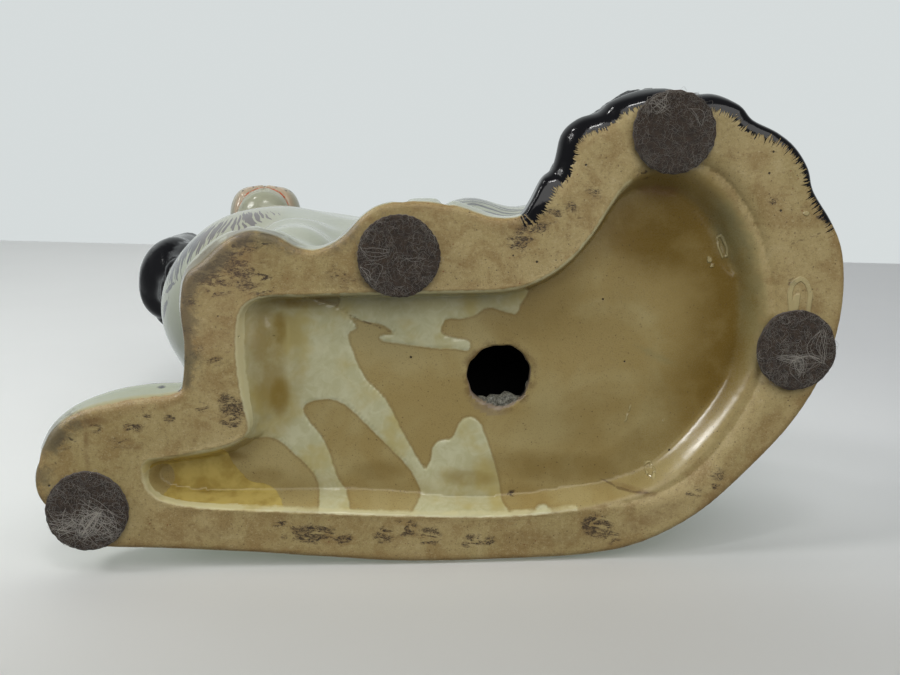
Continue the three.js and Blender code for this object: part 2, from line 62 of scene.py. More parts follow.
MM = 0.001
SHIFT = np.array([6.7, 0.9, 0.0])        # from the drawing's axes to the row frame
RIM_Z = 2.7                              # underside of the foot ring
RECESS_DEPTH = 9.5
FLOOR_Z = RIM_Z + RECESS_DEPTH           # ceiling of the hollow under the figure
WALL = 4.5                               # pottery between the hollow and the inner chamber
BACK_Y = 68.0                            # the flat back
HOLE = (16.5, 14.9, 10.0)                # centre and radius of the round hole
CHAMBER = ((16, 16, 34), (23, 21, 24))   # centre and radii of the hollow above the hole
HEAD = (-76.0, 22.0, 262.0)              # middle of the head, behind the eyes
CELL = 2.05       # sampling step of the surface
NET_LOW = (-140, -82, -2)                # the box that is sampled
NET_HIGH = (132, 80, 332)
NET_BLOCK = 8                            # cells along one side of a sampled block
BLOCKS_AT_ONCE = 300                     # how many are worked out together, to save memory
PLACES_AT_ONCE = 4000

# Outline of the foot ring, from the inner corner of the far paw round the back to the near paw.
OUTLINE = [
    (-81.6, 13), (-84.2, 17.2), (-99, 20.2), (-113, 22.7), (-120.8, 27.6), (-124.4, 33.6),
    (-127.2, 42), (-127, 48), (-124, 54), (-122.8, 60), (-118, 63.8), (-108, 65.8),
    (-90, 66.8), (-64, 68.6), (-38, 71), (-12, 73), (18, 73), (44, 72), (62, 68.4),
    (80, 59), (96, 44.5), (110, 28.5), (119.5, 11), (123.5, -8), (122.6, -24),
    (118.6, -34), (112.6, -43.6), (110.6, -50.5), (106.2, -57), (100.2, -61.6),
    (92.6, -65.2), (88.6, -69.6), (81, -72.8), (74.2, -73), (66, -75), (56, -73.6),
    (49.4, -70.8), (46, -67.6), (39.6, -65.3), (34.6, -60.6), (32.2, -51.2),
    (28.4, -47.6), (24.4, -40), (21, -36.4), (12.5, -36.4), (2, -39.8), (-10, -41.2),
    (-20, -40.4), (-26, -37), (-32.5, -30.4), (-40, -26.8), (-46, -27.6), (-52, -31),
    (-60, -32.6), (-67, -29.6), (-74, -23), (-79.6, -19), (-81.4, -9), (-80.8, 1),
]

# Lip of the hollow, with its groove running out into the far paw, and the foot of its wall.
LIP = [
    (-94.6, 42.5), (-93.4, 38.2), (-86, 37), (-72.5, 34.6), (-65, 32), (-61.8, 28),
    (-63.4, 19), (-64.6, 8), (-64.4, -4), (-62, -10), (-56, -12.6), (-44, -13),
    (-15, -13.5), (8, -13.7), (16, -14), (23, -15.2), (30, -18.2), (37, -23.2), (43.6, -31),
    (48.9, -39.5), (53, -45.4), (59, -50), (67, -51.5), (78, -49.5), (88, -40.5), (95.5, -27),
    (100, -8), (98.5, 7), (93.5, 22), (81, 40.5), (66, 51.2), (50, 55.2), (38, 56.8), (16, 58.2),
    (-16, 57.2), (-48, 55.3), (-78, 53.3), (-88.5, 51), (-93.2, 47.5),
]
FOOT = [
    (-54, -8.6), (-44, -10.4), (-15, -10.9), (8, -11), (16, -11.2), (23.5, -12.4), (31.5, -15.6),
    (39, -21.2), (46, -29.6), (51.2, -37.6), (55, -41.8), (60, -43.9), (66, -44), (72.7, -41.2),
    (79.3, -35.8), (85.3, -28), (91, -16.8), (93, -5.6), (91.3, 10.7), (86, 22.1), (78.2, 32),
    (70, 40.8), (62, 46.4), (49.6, 50.6), (39.8, 52), (30, 53.2), (17, 54.6), (0, 54.2), (-8, 53.2),
    (-20, 51.9), (-35, 51), (-58, 51), (-68, 51), (-79, 50.4), (-88, 48.6), (-91, 46.2),
    (-91, 43.8), (-87.9, 41.6), (-78.5, 40.3), (-70.6, 39), (-64.2, 36.2), (-58, 32.5), (-53.4, 28),
    (-50.8, 22), (-49.6, 16), (-49.3, 5.6), (-50.4, -4),
]

# Pools of pale glaze on the ceiling of the hollow: a long run down the left, and a tongue from the wall.
POOL_RIVER = [
    (-66, -14), (-66, 10), (-64, 27), (-62, 33.2), (-55.1, 34), (-49.8, 38.3), (-43.3, 45.1),
    (-41.5, 49.1), (-41, 55.4), (-42.3, 61), (-32, 61), (-31.7, 53.3), (-34.8, 47.9),
    (-37.8, 38.6), (-40.5, 32.9), (-45.1, 26.6), (-44.8, 23.1), (-39, 21.6), (-32.5, 23.6),
    (-22.2, 33.9), (-13.3, 43.7), (-9.8, 49.7), (-8.9, 53.8), (-14, 58.6), (-16, 63),
    (18.4, 64), (43, 62), (42, 59.2), (36, 58.5), (33, 57), (31, 55.8), (28.4, 56.2), (25, 58),
    (21, 58.2), (17.7, 55.7), (17, 51.6), (16, 46.2), (12.4, 34.5), (9.8, 29.2), (6.2, 28.1),
    (3, 31), (1.8, 34.7), (-2.7, 35.6), (-4.7, 37.5), (-5.3, 41.1), (-6.6, 44.4),
    (-8.2, 43.8), (-14.5, 32.1), (-19.5, 21.8), (-26.1, 14.6), (-30, 5.6), (-31.2, 0.8),
    (-28.7, -0.8), (-29, -2.4), (-33.6, -7.5), (-40, -10), (-52, -16),
]
POOL_TONGUE = [
    (-33.5, -9.4), (-33.6, -7.5), (-27.7, -3.6), (-20.9, -2), (-16.8, 0.9), (-20.9, 1.2),
    (-21.2, 2.8), (-17.5, 3.8), (-4.6, 5.6), (2.4, 6), (6.5, 6.7), (7.4, 4.8), (6.5, 3.1),
    (2.7, 2.5), (-1.7, 0.8), (-1.4, -2.1), (-0.1, -3.7), (4.6, -3.6), (9.3, -5.1),
    (12.8, -7.3), (18.1, -5.7), (21.6, -5), (23, -8), (24, -14), (0, -17), (-30, -16),
]
# Bare patch in the groove between two coats of ochre glaze, and the bare island at its end.
GROOVE_PATCH = [
    (-70, 33), (-69, 40), (-66.7, 43.9), (-62.4, 48.3), (-57.1, 49.4), (-51.5, 54.9),
    (-50.9, 62), (-40, 62), (-40.7, 55.4), (-41.9, 53.7), (-43.3, 45.1), (-49.8, 38.3),
    (-55.1, 34), (-62, 31),
]
ISLAND = (-91.2, 45.6, 4.6)

# The brush of the tail: centre, half width and half height.
TAIL = [
    (31, -34, 10, 4.5, 8), (41, -46, 14, 8, 13.5), (51, -53.5, 18.5, 12, 19.5),
    (63, -57.5, 23, 15, 26), (78, -55, 27, 16.5, 31), (92, -44, 31, 17, 35),
    (100, -27, 35, 17, 38), (97, -6, 40, 16, 36),
]
TAIL_CENTRE = (72, -20)
# Bearings of the partings between its locks, in degrees round that centre.
PARTINGS = [150, 198.4, 218.1, 241.5, 275.5, 295.1, 329.6, 370.7, 400, 510]

# What a distance map holds where its paint has no place, in millimetres.
OUT_OF_REACH = 9.0

# Where the black of the tail runs round onto the foot ring, and how far in from its edge.
BLACK_FROM = (119, -33)
BLACK_TO = (22, -36.6)
BLACK_REACH = 4.8

# Dark scuffs on the bare clay: place, radius and strength.
SCUFFS = [
    (-65.9, 22.2, 3.2, 1.0), (-67.5, 26.2, 2.4, 0.8), (-68.6, 19.2, 2.2, 0.8), (-75, 4.1, 2.6, 0.5),
    (-71.6, 6.4, 2.2, 0.5), (-96.9, 27.2, 2.2, 0.9), (-92.5, 24.5, 1.4, 0.8), (-86, 24.6, 1.4, 0.8),
    (-76, 21.2, 1.6, 0.8), (-72.8, -19.2, 4.0, 0.9), (-66, -22.4, 4.6, 0.8), (-61, -29.4, 3.4, 0.8),
    (-78.6, -12, 2.2, 0.7), (-79.6, -3, 2.0, 0.6), (-80, 6, 2.0, 0.6), (-57, -20.6, 2.6, 0.7),
    (-63, -18.6, 2.6, 0.8), (-56.5, -14.8, 3.0, 0.6), (-60.5, -15.8, 2.6, 0.7), (-70, -15.4, 3.0, 0.8),
    (-53.4, 58.9, 1.6, 0.9), (-50.1, 61.9, 2.6, 0.8), (-44.2, 62.8, 3.4, 1.0), (-39.6, 62.6, 3.0, 0.8),
    (-33.3, 64.6, 2.0, 1.0), (-20.7, 63.6, 2.6, 1.0), (-14, 61.4, 3.0, 0.9), (-6.5, 64.4, 3.0, 0.9),
    (4, 67.5, 1.6, 0.8), (8.1, 66.3, 2.2, 1.0), (12.3, 66, 1.8, 0.8), (6.5, 64.9, 1.0, 0.9),
    (47.2, 62.2, 3.6, 1.2), (52.6, 66.4, 2.4, 1.0), (56, 69.4, 1.6, 0.7), (31.7, -36.9, 2.0, 1.0),
    (23.3, -31.4, 2.6, 0.9), (20.3, -28.1, 2.6, 0.8), (27.6, -33.6, 2.0, 0.8), (36.9, -39.2, 1.8, 0.7),
    (44, -43.5, 2.2, 0.5), (99.2, -40.8, 1.2, 1.2), (115.4, -35.4, 2.0, 1.1), (59.5, -48.6, 1.9, 0.7),
    (-34, -20, 3.0, 0.5), (-30, -16.5, 3.0, 0.4), (-101, 32, 3.0, 0.4), (-117.6, 31.4, 2.6, 0.6),
    (-108.4, 27.4, 1.6, 0.7), (78, 52, 2.4, 0.6), (86, 46, 2.2, 0.6), (20.9, 53.6, 0.9, 1.4),
    (-60, -30, 3.2, 1.0), (-64, -26.5, 2.4, 0.8), (-55.5, -30.4, 2.0, 0.9), (85.2, 49.6, 1.0, 1.4),
    (-55, -18.6, 1.0, 1.2), (106.6, -15.6, 1.0, 1.3),
]
# Rust brown stains, as places with two half widths, a turn in degrees and a strength.
STAINS = [
    (-111, 25.6, 6.5, 1.8, -8, 0.9), (-111.3, 32, 0.9, 8, 0, 0.7), (-118, 29.5, 4, 1.6, -30, 0.5),
    (-28, -17.5, 12, 3.2, 0, 0.4), (20, -33.6, 6, 2.2, -30, 0.5), (66, -43.6, 8, 1.8, 4, 0.9),
    (-80, 62, 14, 2.6, 0, 0.3), (32, 66, 16, 3, 0, 0.3), (64, 60, 12, 3, -24, 0.4),
    (10.4, 8.2, 3.4, 2.2, -40, 0.9), (112, -2, 4, 10, 0, 0.3), (-56.4, -24, 6, 3, 0, 0.5),
    (-97, 33.6, 2.4, 1.2, 0, 0.6), (86, 52, 8, 2, -40, 0.5), (60.5, 51.6, 6.5, 0.8, 8, 0.7),
]
# Ochre wash in the hollow, thickest in the deep end and along the foot of the walls; the strong patch on
# the bowl's upper slope is partly painted shade, where that slope faces away from the light.
OCHRE_AND_SHADE = [
    (68, -30, 24, 14, 8, 0.95), (66, 37, 22, 8, -35, 0.55), (40, 46, 30, 6, 4, 0.55),
    (-22, 46, 10, 4, 0, 0.5), (46, 30, 26, 12, 0, 0.25), (-56, 7, 6.4, 22, 0, 0.72),
    (-53.2, 19.5, 4, 8.5, 0, 0.9), (-52.6, -1, 2.6, 7, 0, 0.9), (-47, -9.6, 13, 2.2, 0, 0.85),
    (7, 48.4, 11, 3.4, 3, 0.6), (-61, 8, 5, 24, 0, 0.4), (-57, -6, 7, 5, 0, 0.4),
    (-77, 38.8, 14, 2.2, 5, 1.0), (-70, 45, 10, 6, 0, 0.2), (-58, 46.5, 7, 3, 0, 0.45),
    (28, -6, 20, 10, 0, 0.3),
]
# Thin grey-green glaze on the wall at the rump and along the wall by the hind foot.
GREYS = [
    (90, -30, 6, 13, -25, 0.65), (97, -8, 4.5, 14, 0, 0.5), (99, 8, 4, 9, 0, 0.4),
    (-12, -12, 26, 2.6, 0, 0.9), (-30, -10, 10, 3, 0, 0.8), (66.4, 8.7, 7, 1.0, 27, 0.5),
    (10, -12, 8, 2.4, 0, 0.7),
]
# Olive grime along the edge of the foot ring: place, radius and strength.
GRIME = [
    (-78.5, -18, 7, 1.0), (-80.5, -6, 5, 0.9), (-81, 6, 4.5, 0.9), (-71, -24, 7, 1.0),
    (-62, -30.4, 5, 0.9), (-54, -31.6, 4.5, 0.9), (-47.5, -28.4, 3, 0.8), (-122.5, 30, 6, 1.0),
    (-126, 42, 4, 0.8), (-125, 50, 3, 0.6), (-35, -30, 4, 0.7), (-116, 25.6, 4, 0.7),
    (-31, -33, 3.5, 0.8),
]
# Raised threads of pale glaze: an arch on the ring, and small drips in the bowl.
THREADS = [
    [(106.8, -6), (106, -12), (106.8, -15.4), (109.2, -16.8), (111.2, -15.5), (112.6, -11.9),
     (112.1, -6.2)],
    [(108.6, -11.6), (108.2, -6.9)],
    [(85.1, -28.9), (86.4, -29.3), (88.2, -25.5), (88.6, -22.6), (87.3, -22), (85.6, -25.8),
     (85.1, -28.9)],
    [(82.1, -22.3), (82.9, -22.6), (84.3, -19.8), (83.4, -19.4), (82.1, -22.3)],
    [(64.3, 44.3), (65.7, 44), (66.8, 46), (65.9, 48), (64.5, 47.3), (64.3, 44.3)],
    [(59.1, 25), (57.3, 31)], [(69.4, 31.2), (70.4, 29.9)], [(109.6, -37), (110.2, -36.8)],
]
# Thin brown cracks and the brown edge of a coat of glaze.
CRACKS = [
    [(49, 49.3), (54.6, 51.4), (59.5, 51.8), (65.4, 51.9)],
    [(105.2, -27.2), (107.1, -28.1), (112.6, -30), (114.7, -30.9)],
    [(-34.4, -8.6), (-32, -6.4), (-28, -3.8), (-23, -1.9), (-16.8, 0.7)],
    [(37.2, -38.3), (38.8, -35.9), (44, -36.5)],
    [(61.5, 68.4), (71.2, 64.4), (80.7, 58.2), (90.2, 50.4)],
]
# Grey brush strokes on the coat, as chains of places and half widths.
STROKES = [
    [(-100.4, -3.2, 115.6, 0.2), (-105, 0.8, 122, 1.2), (-109.2, 5.4, 128.9, 0.3)],
    [(-105, 4.4, 119, 0.3), (-107.8, 9.5, 123, 1.8), (-109.4, 15.4, 127, 0.5)],
    [(-94.6, 14, 8.1, 0.3), (-89, 14.5, 9, 1.3), (-83.2, 12.3, 5.5, 0.8)],
    [(-82, 15.8, 4, 0.5), (-82.6, 19.5, 2.4, 0.7)],
    [(-98, -12, 128, 0.3), (-100, -9, 134, 0.9)],
]


def near_piece(x, y, a, b):
    """How far from a to b the nearest point lies, as a share, and the squared distance to it."""
    ex = b[0] - a[0]
    ey = b[1] - a[1]
    h = np.clip(((x - a[0]) * ex + (y - a[1]) * ey) / (ex * ex + ey * ey), 0, 1)
    return h, (x - a[0] - h * ex) ** 2 + (y - a[1] - h * ey) ** 2


def to_path(x, y, path):
    """Distance in the plane to a broken line."""
    pieces = [near_piece(x, y, a, b)[1] for a, b in zip(path[:-1], path[1:])]
    return np.sqrt(np.minimum.reduce(pieces))


def to_paths(x, y, paths):
    return np.minimum.reduce([to_path(x, y, path) for path in paths])


def patches(x, y, table):
    """Strength of soft oval patches: place, half widths, turn in degrees, strength."""
    total = np.zeros(len(x))
    for cx, cy, rx, ry, degrees, strength in table:
        a = math.radians(degrees)
        u = (x - cx) * math.cos(a) + (y - cy) * math.sin(a)
        v = (y - cy) * math.cos(a) - (x - cx) * math.sin(a)
        total = np.maximum(total, strength * np.exp(-(((u / rx) ** 2 + (v / ry) ** 2) ** 2)))
    return total


def rounds(x, y, table):
    """Strength of soft round patches: place, radius, strength."""
    return patches(x, y, [(cx, cy, 1.4 * r, 1.05 * r, 8, strength) for cx, cy, r, strength in table])


def step(t):
    """Eases from 0 to 1 while t does."""
    s = np.clip(t, 0.0, 1.0)
    return s * s * (3.0 - 2.0 * s)


def bell(w, width):
    """1 at zero, fading out over the width on both sides."""
    return np.exp(-((w / width) ** 2))


def blend(a, b, k):
    """Two forms joined with a soft seam about k wide."""
    h = np.clip(0.5 + 0.5 * (b - a) / k, 0.0, 1.0)
    return b + (a - b) * h - k * h * (1.0 - h)


def carve(a, b, k):
    """What both forms share, with a soft edge."""
    return -blend(-a, -b, k)


def ridge(phase, sharp):
    return np.abs(np.cos(phase)) ** sharp


def turned(p, centre, axis, degrees):
    """Points turned about one axis through a centre."""
    angle = math.radians(degrees)
    i, j = {"x": (1, 2), "y": (2, 0), "z": (0, 1)}[axis]
    u = p[:, i] - centre[i]
    v = p[:, j] - centre[j]
    q = p.copy()
    q[:, i] = centre[i] + math.cos(angle) * u + math.sin(angle) * v
    q[:, j] = centre[j] - math.sin(angle) * u + math.cos(angle) * v
    return q


def ellipsoid(p, centre, radii):
    q = (p - np.array(centre, np.float32)) / np.array(radii, np.float32)
    near = np.sqrt((q * q).sum(1))
    q = q / np.array(radii, np.float32)
    return near * (near - 1.0) / (np.sqrt((q * q).sum(1)) + 1e-9)


def tilted(p, centre, radii, axis, degrees):
    """An ellipsoid turned about one axis through its centre."""
    return ellipsoid(turned(p, centre, axis, degrees), centre, radii)


def cone(p, a, b, ra, rb):
    """A round bar from a to b, with a radius at each end."""
    a = np.array(a, np.float32)
    ab = np.array(b, np.float32) - a
    h = np.clip(((p - a) @ ab) / (ab @ ab), 0.0, 1.0)
    d = p - a - h[:, None] * ab
    return np.sqrt((d * d).sum(1)) - (ra + h * (rb - ra))


def limb(p, knots, k):
    """A chain of cones through (x, y, z, radius) knots."""
    d = cone(p, knots[0][:3], knots[1][:3], knots[0][3], knots[1][3])
    for a, b in zip(knots[1:-1], knots[2:]):
        d = blend(d, cone(p, a[:3], b[:3], a[3], b[3]), k)
    return d


def smooth_ring(points, per_span):
    """Closed Catmull-Rom curve through the points."""
    pts = np.array(points, float)
    out = []
    for i in range(len(pts)):
        a, b, c, d = (pts[(i + s - 1) % len(pts)] for s in range(4))
        for t in np.arange(per_span) / per_span:
            out.append(0.5 * (2 * b + (c - a) * t + (2 * a - 5 * b + 4 * c - d) * t * t
                              + (3 * b - a - 3 * c + d) * t ** 3))
    return np.array(out)


def outline_field(points, per_span, cell=0.75, reach=60.0):
    """Signed distance to a closed smooth outline, negative inside, kept as a table."""
    ring = smooth_ring(points, per_span)
    low = ring.min(0) - reach
    count = np.ceil((ring.max(0) + reach - low) / cell).astype(int) + 2
    x, y = np.meshgrid(*[low[k] + np.arange(count[k]) * cell for k in (0, 1)], indexing="ij")
    best = np.full(x.shape, 1e18)
    inside = np.zeros(x.shape, bool)
    for a, b in zip(ring, np.roll(ring, 1, 0)):
        best = np.minimum(best, near_piece(x, y, a, b)[1])
        ex, ey = b - a
        if abs(ey) > 1e-9:
            inside ^= ((a[1] > y) != (b[1] > y)) & (x < a[0] + ex * (y - a[1]) / ey)
    table = (np.where(inside, -1.0, 1.0) * np.sqrt(best)).astype(np.float32)

    def look_up(px, py):
        u = np.clip((px - low[0]) / cell, 0, count[0] - 1.001)
        v = np.clip((py - low[1]) / cell, 0, count[1] - 1.001)
        i = u.astype(int)
        j = v.astype(int)
        u = (u - i).astype(np.float32)
        v = (v - j).astype(np.float32)
        return ((table[i, j] * (1 - u) + table[i + 1, j] * u) * (1 - v)
                + (table[i, j + 1] * (1 - u) + table[i + 1, j + 1] * u) * v)

    return look_up


outline = outline_field(OUTLINE, 4)
lip = outline_field(LIP, 4)
wall_foot = outline_field(FOOT, 4)
river = outline_field(POOL_RIVER, 3, 0.5, 12.0)
tongue = outline_field(POOL_TONGUE, 3, 0.5, 12.0)
patch = outline_field(GROOVE_PATCH, 3, 0.5, 12.0)


def ground(p):
    """The foot ring and the ground the dog sits on, rising behind into the lower rump."""
    x, y, z = p.T
    rise = step((x + 30) / 95) * step((y + 22) / 34)
    rounding = 6 + 27 * rise
    across = outline(x, y) + rounding
    along = z - 15 - 46 * rise + rounding
    outside = np.sqrt(np.maximum(across, 0) ** 2 + np.maximum(along, 0) ** 2)
    return outside + np.minimum(np.maximum(across, along), 0) - rounding


def body(p):
    """Trunk, haunch and the two front legs."""
    z = p[:, 2]
    d = tilted(p, (46, 16, 58), (68, 50, 66), "y", 8)
    d = blend(d, tilted(p, (-2, 18, 116), (66, 45, 84), "y", -36), 18)
    d = blend(d, ellipsoid(p, (-63, 12, 148), (48, 41, 60)), 14)
    d = blend(d, ellipsoid(p, (-28, 20, 58), (52, 38, 62)), 12)
    d = blend(d, cone(p, (-58, 24, 184), (-71, 26, 244), 44, 33), 18)
    d = blend(d, cone(p, (-30, 24, 168), (-52, 28, 224), 40, 26), 18)
    d = blend(d, tilted(p, (43, -3, 58), (43, 33, 50), "y", -12), 8)
    d = blend(d, ellipsoid(p, (11, -8, 60), (23, 30, 36)), 6)
    d = blend(d, limb(p, [(64, -36, 24, 12), (80, -32, 30, 14), (90, -14, 38, 14)], 6), 6)
    near = [(-54, -4, 146, 19), (-52, -10, 100, 17), (-50, -13, 45, 15.5), (-52, -12, 24, 16)]
    d = blend(d, limb(p, near, 6), 8)
    far = [(-80, 34, 146, 19), (-75, 38, 100, 18), (-75, 38, 45, 17), (-77, 38, 22, 18)]
    d = blend(d, limb(p, far, 6), 8)
    return carve(d, p[:, 1] - BACK_Y + 0.04 * np.maximum(0, z - 40), 8)


def under_tail(p):
    """How far the edge of the foot ring is rounded off, full under the front of the tail."""
    x, y, _ = p.T
    return step((x - 24) / 10) * step((-30 - y) / 14) * (1 - 0.8 * step((x - 70) / 24))


def paws(p, d):
    e = blend(d, ellipsoid(p, (-61, -9, 13), (20.5, 23, 13.5)), 5)
    e = blend(e, tilted(p, (-98, 40, 13), (30, 23, 15), "z", -16), 6)
    e = blend(e, ellipsoid(p, (-6, -17, 13), (29, 23, 14)), 5)
    return blend(e, ellipsoid(p, (8, -14, 28), (26, 19, 26)), 10)


def toes(p):
    """Depth of the grooves between the toes."""
    x, y, z = p.T
    low = step((30 - z) / 6) * step((z - RIM_Z) / 6)
    far = bell(y - 38 - 0.06 * (x + 127), 1.7) + bell(y - 53 + 0.1 * (x + 127), 1.7)
    near = bell(x + 66.5 + 0.1 * y, 1.5) + bell(x + 55, 1.5)
    hind = bell(x + 14, 1.5) + bell(x + 1, 1.5)
    near_part = step((-18 - y) / 6) * step((-40 - x) / 4) * step((z - 8) / 5)
    hind_part = step((-30 - y) / 6) * step((8 - x) / 4) * step((x + 24) / 4)
    return 1.9 * low * (far * step((-104 - x) / 8) + near * near_part + hind * hind_part)


def collar_height(p):
    """Distance above the middle of the collar."""
    return p[:, 2] - 211 - 0.32 * (p[:, 0] + 66) - 0.25 * (p[:, 1] - 20)


def collar(p):
    w = np.abs(collar_height(p))
    band = 1.3 * step((3.4 - w) / 1.2)
    return band - 0.35 * bell(w - 1.9, 0.35)


LOCK = ((-79, -14, 201), (6, 5, 6.5))


def tail(p):
    """Thick hair swept forward, parted where the outline is notched."""
    x, y, z = p.T
    d = None
    for a, b in zip(TAIL[:-1], TAIL[1:]):
        h, away = near_piece(x, y, a, b)
        width = a[3] + (b[3] - a[3]) * h
        dz = (z - a[2] - (b[2] - a[2]) * h) * width / (a[4] + (b[4] - a[4]) * h)
        e = np.sqrt(away + dz * dz) - width
        d = e if d is None else blend(d, e, 4)
    bearing = np.degrees(np.arctan2(y - TAIL_CENTRE[1], x - TAIL_CENTRE[0])) % 360
    bearing = np.where(bearing < PARTINGS[0], bearing + 360, bearing)
    phase = np.interp(bearing, PARTINGS, np.arange(-1, len(PARTINGS) - 1))
    phase = phase + 0.35 * np.sin(z * 0.1) - 0.045 * np.maximum(z - 6, 0)
    raised = np.clip((z - 8) / 10, 0.0, 1.0)
    d = d - 3.6 * (ridge((phase - 0.5) * np.pi, 0.65) - 0.62)
    d = d - 1.1 * raised * (ridge((phase * 2 - 0.3 + 0.03 * z) * np.pi, 0.7) - 0.6)
    return d - 0.45 * raised * (ridge((phase * 5 + 0.2 + 0.05 * z) * np.pi, 0.8) - 0.55)


def ear(p):
    """One long hanging ear with waved locks. The other is its mirror image."""
    x = p[:, 0] - HEAD[0]
    y = p[:, 1] - HEAD[1] + 7.5
    z = p[:, 2] - HEAD[2]
    knots = [(24, 0, 45, 8), (38, 0, 36, 11), (43, 0, 14, 13.5), (45, 0, -8, 15), (43, 0, -30, 15),
             (38, 0, -46, 10.5)]
    d = limb(np.stack([x, y * 0.76, z], 1), knots, 5)
    worked = step((36 - z) / 30) * step((x - 28) / 14)
    turn = np.arctan2(y, x - 36)
    wave = 1.6 * turn + 0.06 * z + 2.3
    lock = 2.6 * (ridge(wave, 0.8) - 0.6)
    strand = 0.25 * (ridge(3 * wave + 0.6, 1.0) - 0.5)
    return d - worked * (lock + strand + 1.2 * np.sin(z * 0.21 + 1.2 + 0.05 * y))


def head(p):
    q = p - np.array(HEAD, np.float32)
    d = ellipsoid(q, (0, 2, 22), (36, 37, 41))
    d = blend(d, ellipsoid(q, (16, -4, -6), (23, 25, 26)), 12)
    d = blend(d, ellipsoid(q, (0, -18, 12), (22, 16, 26)), 9)
    d = blend(d, cone(q, (0, -38, -6), (0, -22, 14), 9, 13), 6)
    d = blend(d, ellipsoid(q, (0, -31, -15), (17.5, 21, 16)), 6)
    lips = (7.2, -41.8, -15.5)
    d = blend(d, tilted(q, lips, (9.2, 11.2, 10), "z", 14), 6)
    d = blend(d, ellipsoid(q, (0, -42.5, -15.5), (5.5, 10.5, 8)), 5)
    d = blend(d, ellipsoid(q, (0, -34, -27), (13.8, 18, 8.5)), 4)
    d = blend(d, ellipsoid(q, (0, -45, -4), (7.6, 6, 5.8)), 3)
    brow = (15, -26, 22)
    bent = turned(turned(q, brow, "z", 22), brow, "y", -14)
    d = blend(d, ellipsoid(bent, brow, (12.5, 7, 4.5)), 6)
    d = carve(d, -cone(q, (15.5, -38, 9.5), (15, -33, 8.5), 7, 5), 6)
    d = blend(d, ellipsoid(q, (14.8, -27.6, 9.5), (7.4, 5.6, 5.8)), 1.5)
    lid = (14.8, -28.6, 4)
    return blend(d, tilted(q, lid, (9, 4.6, 2.4), "z", 18), 3)


def mouth_line(x, z):
    """Height above the line of the mouth, from the middle of the face outwards."""
    return z + 17.5 + 0.35 * x + 0.02 * x * x


def face_lines(p):
    """Depth of the mouth, the parting of the lip, the nostrils and the furrow of the brow."""
    x, y, z = (p - np.array(HEAD, np.float32)).T
    mouth = bell(mouth_line(x, z), 1.1) * step((18 - x) / 3) * step((-22 - y) / 6)
    parting = 0.5 * bell(x, 1.0) * step((-9 - z) / 3) * step((z + 25) / 2) * step((-30 - y) / 6)
    nostril = 1.6 * bell(np.hypot(x - 3.6, z + 6), 1.5) * step((-40 - y) / 3)
    furrow = 2.4 * bell(x, 3.2) * step((z - 14) / 8) * step((52 - z) / 14) * step((-8 - y) / 12)
    return mouth + parting + nostril + furrow


def down_wall(x, y):
    """How far down the wall of the hollow a place lies, from 0 at the lip to 1 at the wall's foot."""
    inside = np.maximum(-lip(x, y), 0)
    left = np.maximum(wall_foot(x, y), 0)
    return inside / np.maximum(inside + left, 1e-3)


def hollow(p):
    """The hollow under the figure: a cove at the left, crisp walls, and a soft bowl at the rump."""
    x, y, z = p.T
    t = down_wall(x, y)
    bowl = step((x - 40) / 30)
    cove = step((-46 - x) / 8) * step((34 - y) / 6)
    crisp = 0.6 * t + 0.4 * step(t)
    depth = crisp + (step(t) - crisp) * bowl
    depth = depth + (1 - (1 - t) ** 2.2 - depth) * cove
    return np.maximum(z - RIM_Z - RECESS_DEPTH * depth, lip(x, y))


def hole_edge(p):
    """Distance outside the ragged edge of the round hole."""
    dx = p[:, 0] - HOLE[0]
    dy = p[:, 1] - HOLE[1]
    turn = np.arctan2(dy, dx)
    ragged = 0.22 * np.sin(3 * turn + 1) + 0.16 * np.sin(7 * turn) + 0.1 * np.sin(13 * turn + 2)
    return np.hypot(dx, dy) - HOLE[2] + ragged


# Crumbs of plaster caught on the inner edge of the hole: place and radius.
CRUMBS = [
    (12.6, 24.0, 14.6, 1.5), (14.8, 23.2, 15.2, 1.9), (16.8, 24.4, 14.8, 1.6), (15.8, 22.2, 16.4, 1.4),
    (19.6, 22.6, 15.4, 2.0), (18.4, 24.2, 14.4, 1.4), (21.6, 23.2, 14.8, 1.6), (11.0, 22.8, 15.0, 1.1),
    (25.2, 11.0, 15.0, 1.0), (25.8, 18.4, 15.0, 0.9),
]


def crumbs(p):
    d = np.full(len(p), 1e3, np.float32)
    for x, y, z, r in CRUMBS:
        lump = 0.3 * np.sin(p[:, 0] * 3.1 + x) * np.sin(p[:, 1] * 2.7 + y)
        d = blend(d, np.sqrt(((p - np.array([x, y, z], np.float32)) ** 2).sum(1)) - r + lump, 0.8)
    return d


def bead_reach(x, y):
    """Where glaze has gathered in a bead along the lip: not at the rump."""
    return step((48 + 14 * step((-8 - y) / 10) - x) / 8)


def glaze_height(p):
    """Thickness of glaze pools, the bead along the lip and the slight unevenness of hand work."""
    x, y, z = p.T
    low = step((FLOOR_Z + 2 - z) / 2)
    pool = np.minimum(river(x, y), tongue(x, y))
    edge = lip(x, y)
    pools = 0.28 * step(-pool) * low * step(-edge / 1.5)
    bead = 0.3 * bell(edge - 0.1, 0.9) * bead_reach(x, y) * step((RIM_Z + 3 - z) / 2)
    uneven = 0.22 * np.sin(x / 9.1 + 0.4) * np.sin(y / 7.7 + z / 11.3)
    uneven = uneven + 0.12 * np.sin(z / 5.3 + x / 6.1)
    return pools + bead + uneven * step((z - RIM_Z - 1) / 6)


def mirrored(p):
    """Points left of the face's middle plane folded over onto its right."""
    q = p.copy()
    q[:, 0] = HEAD[0] + np.abs(p[:, 0] - HEAD[0])
    return q


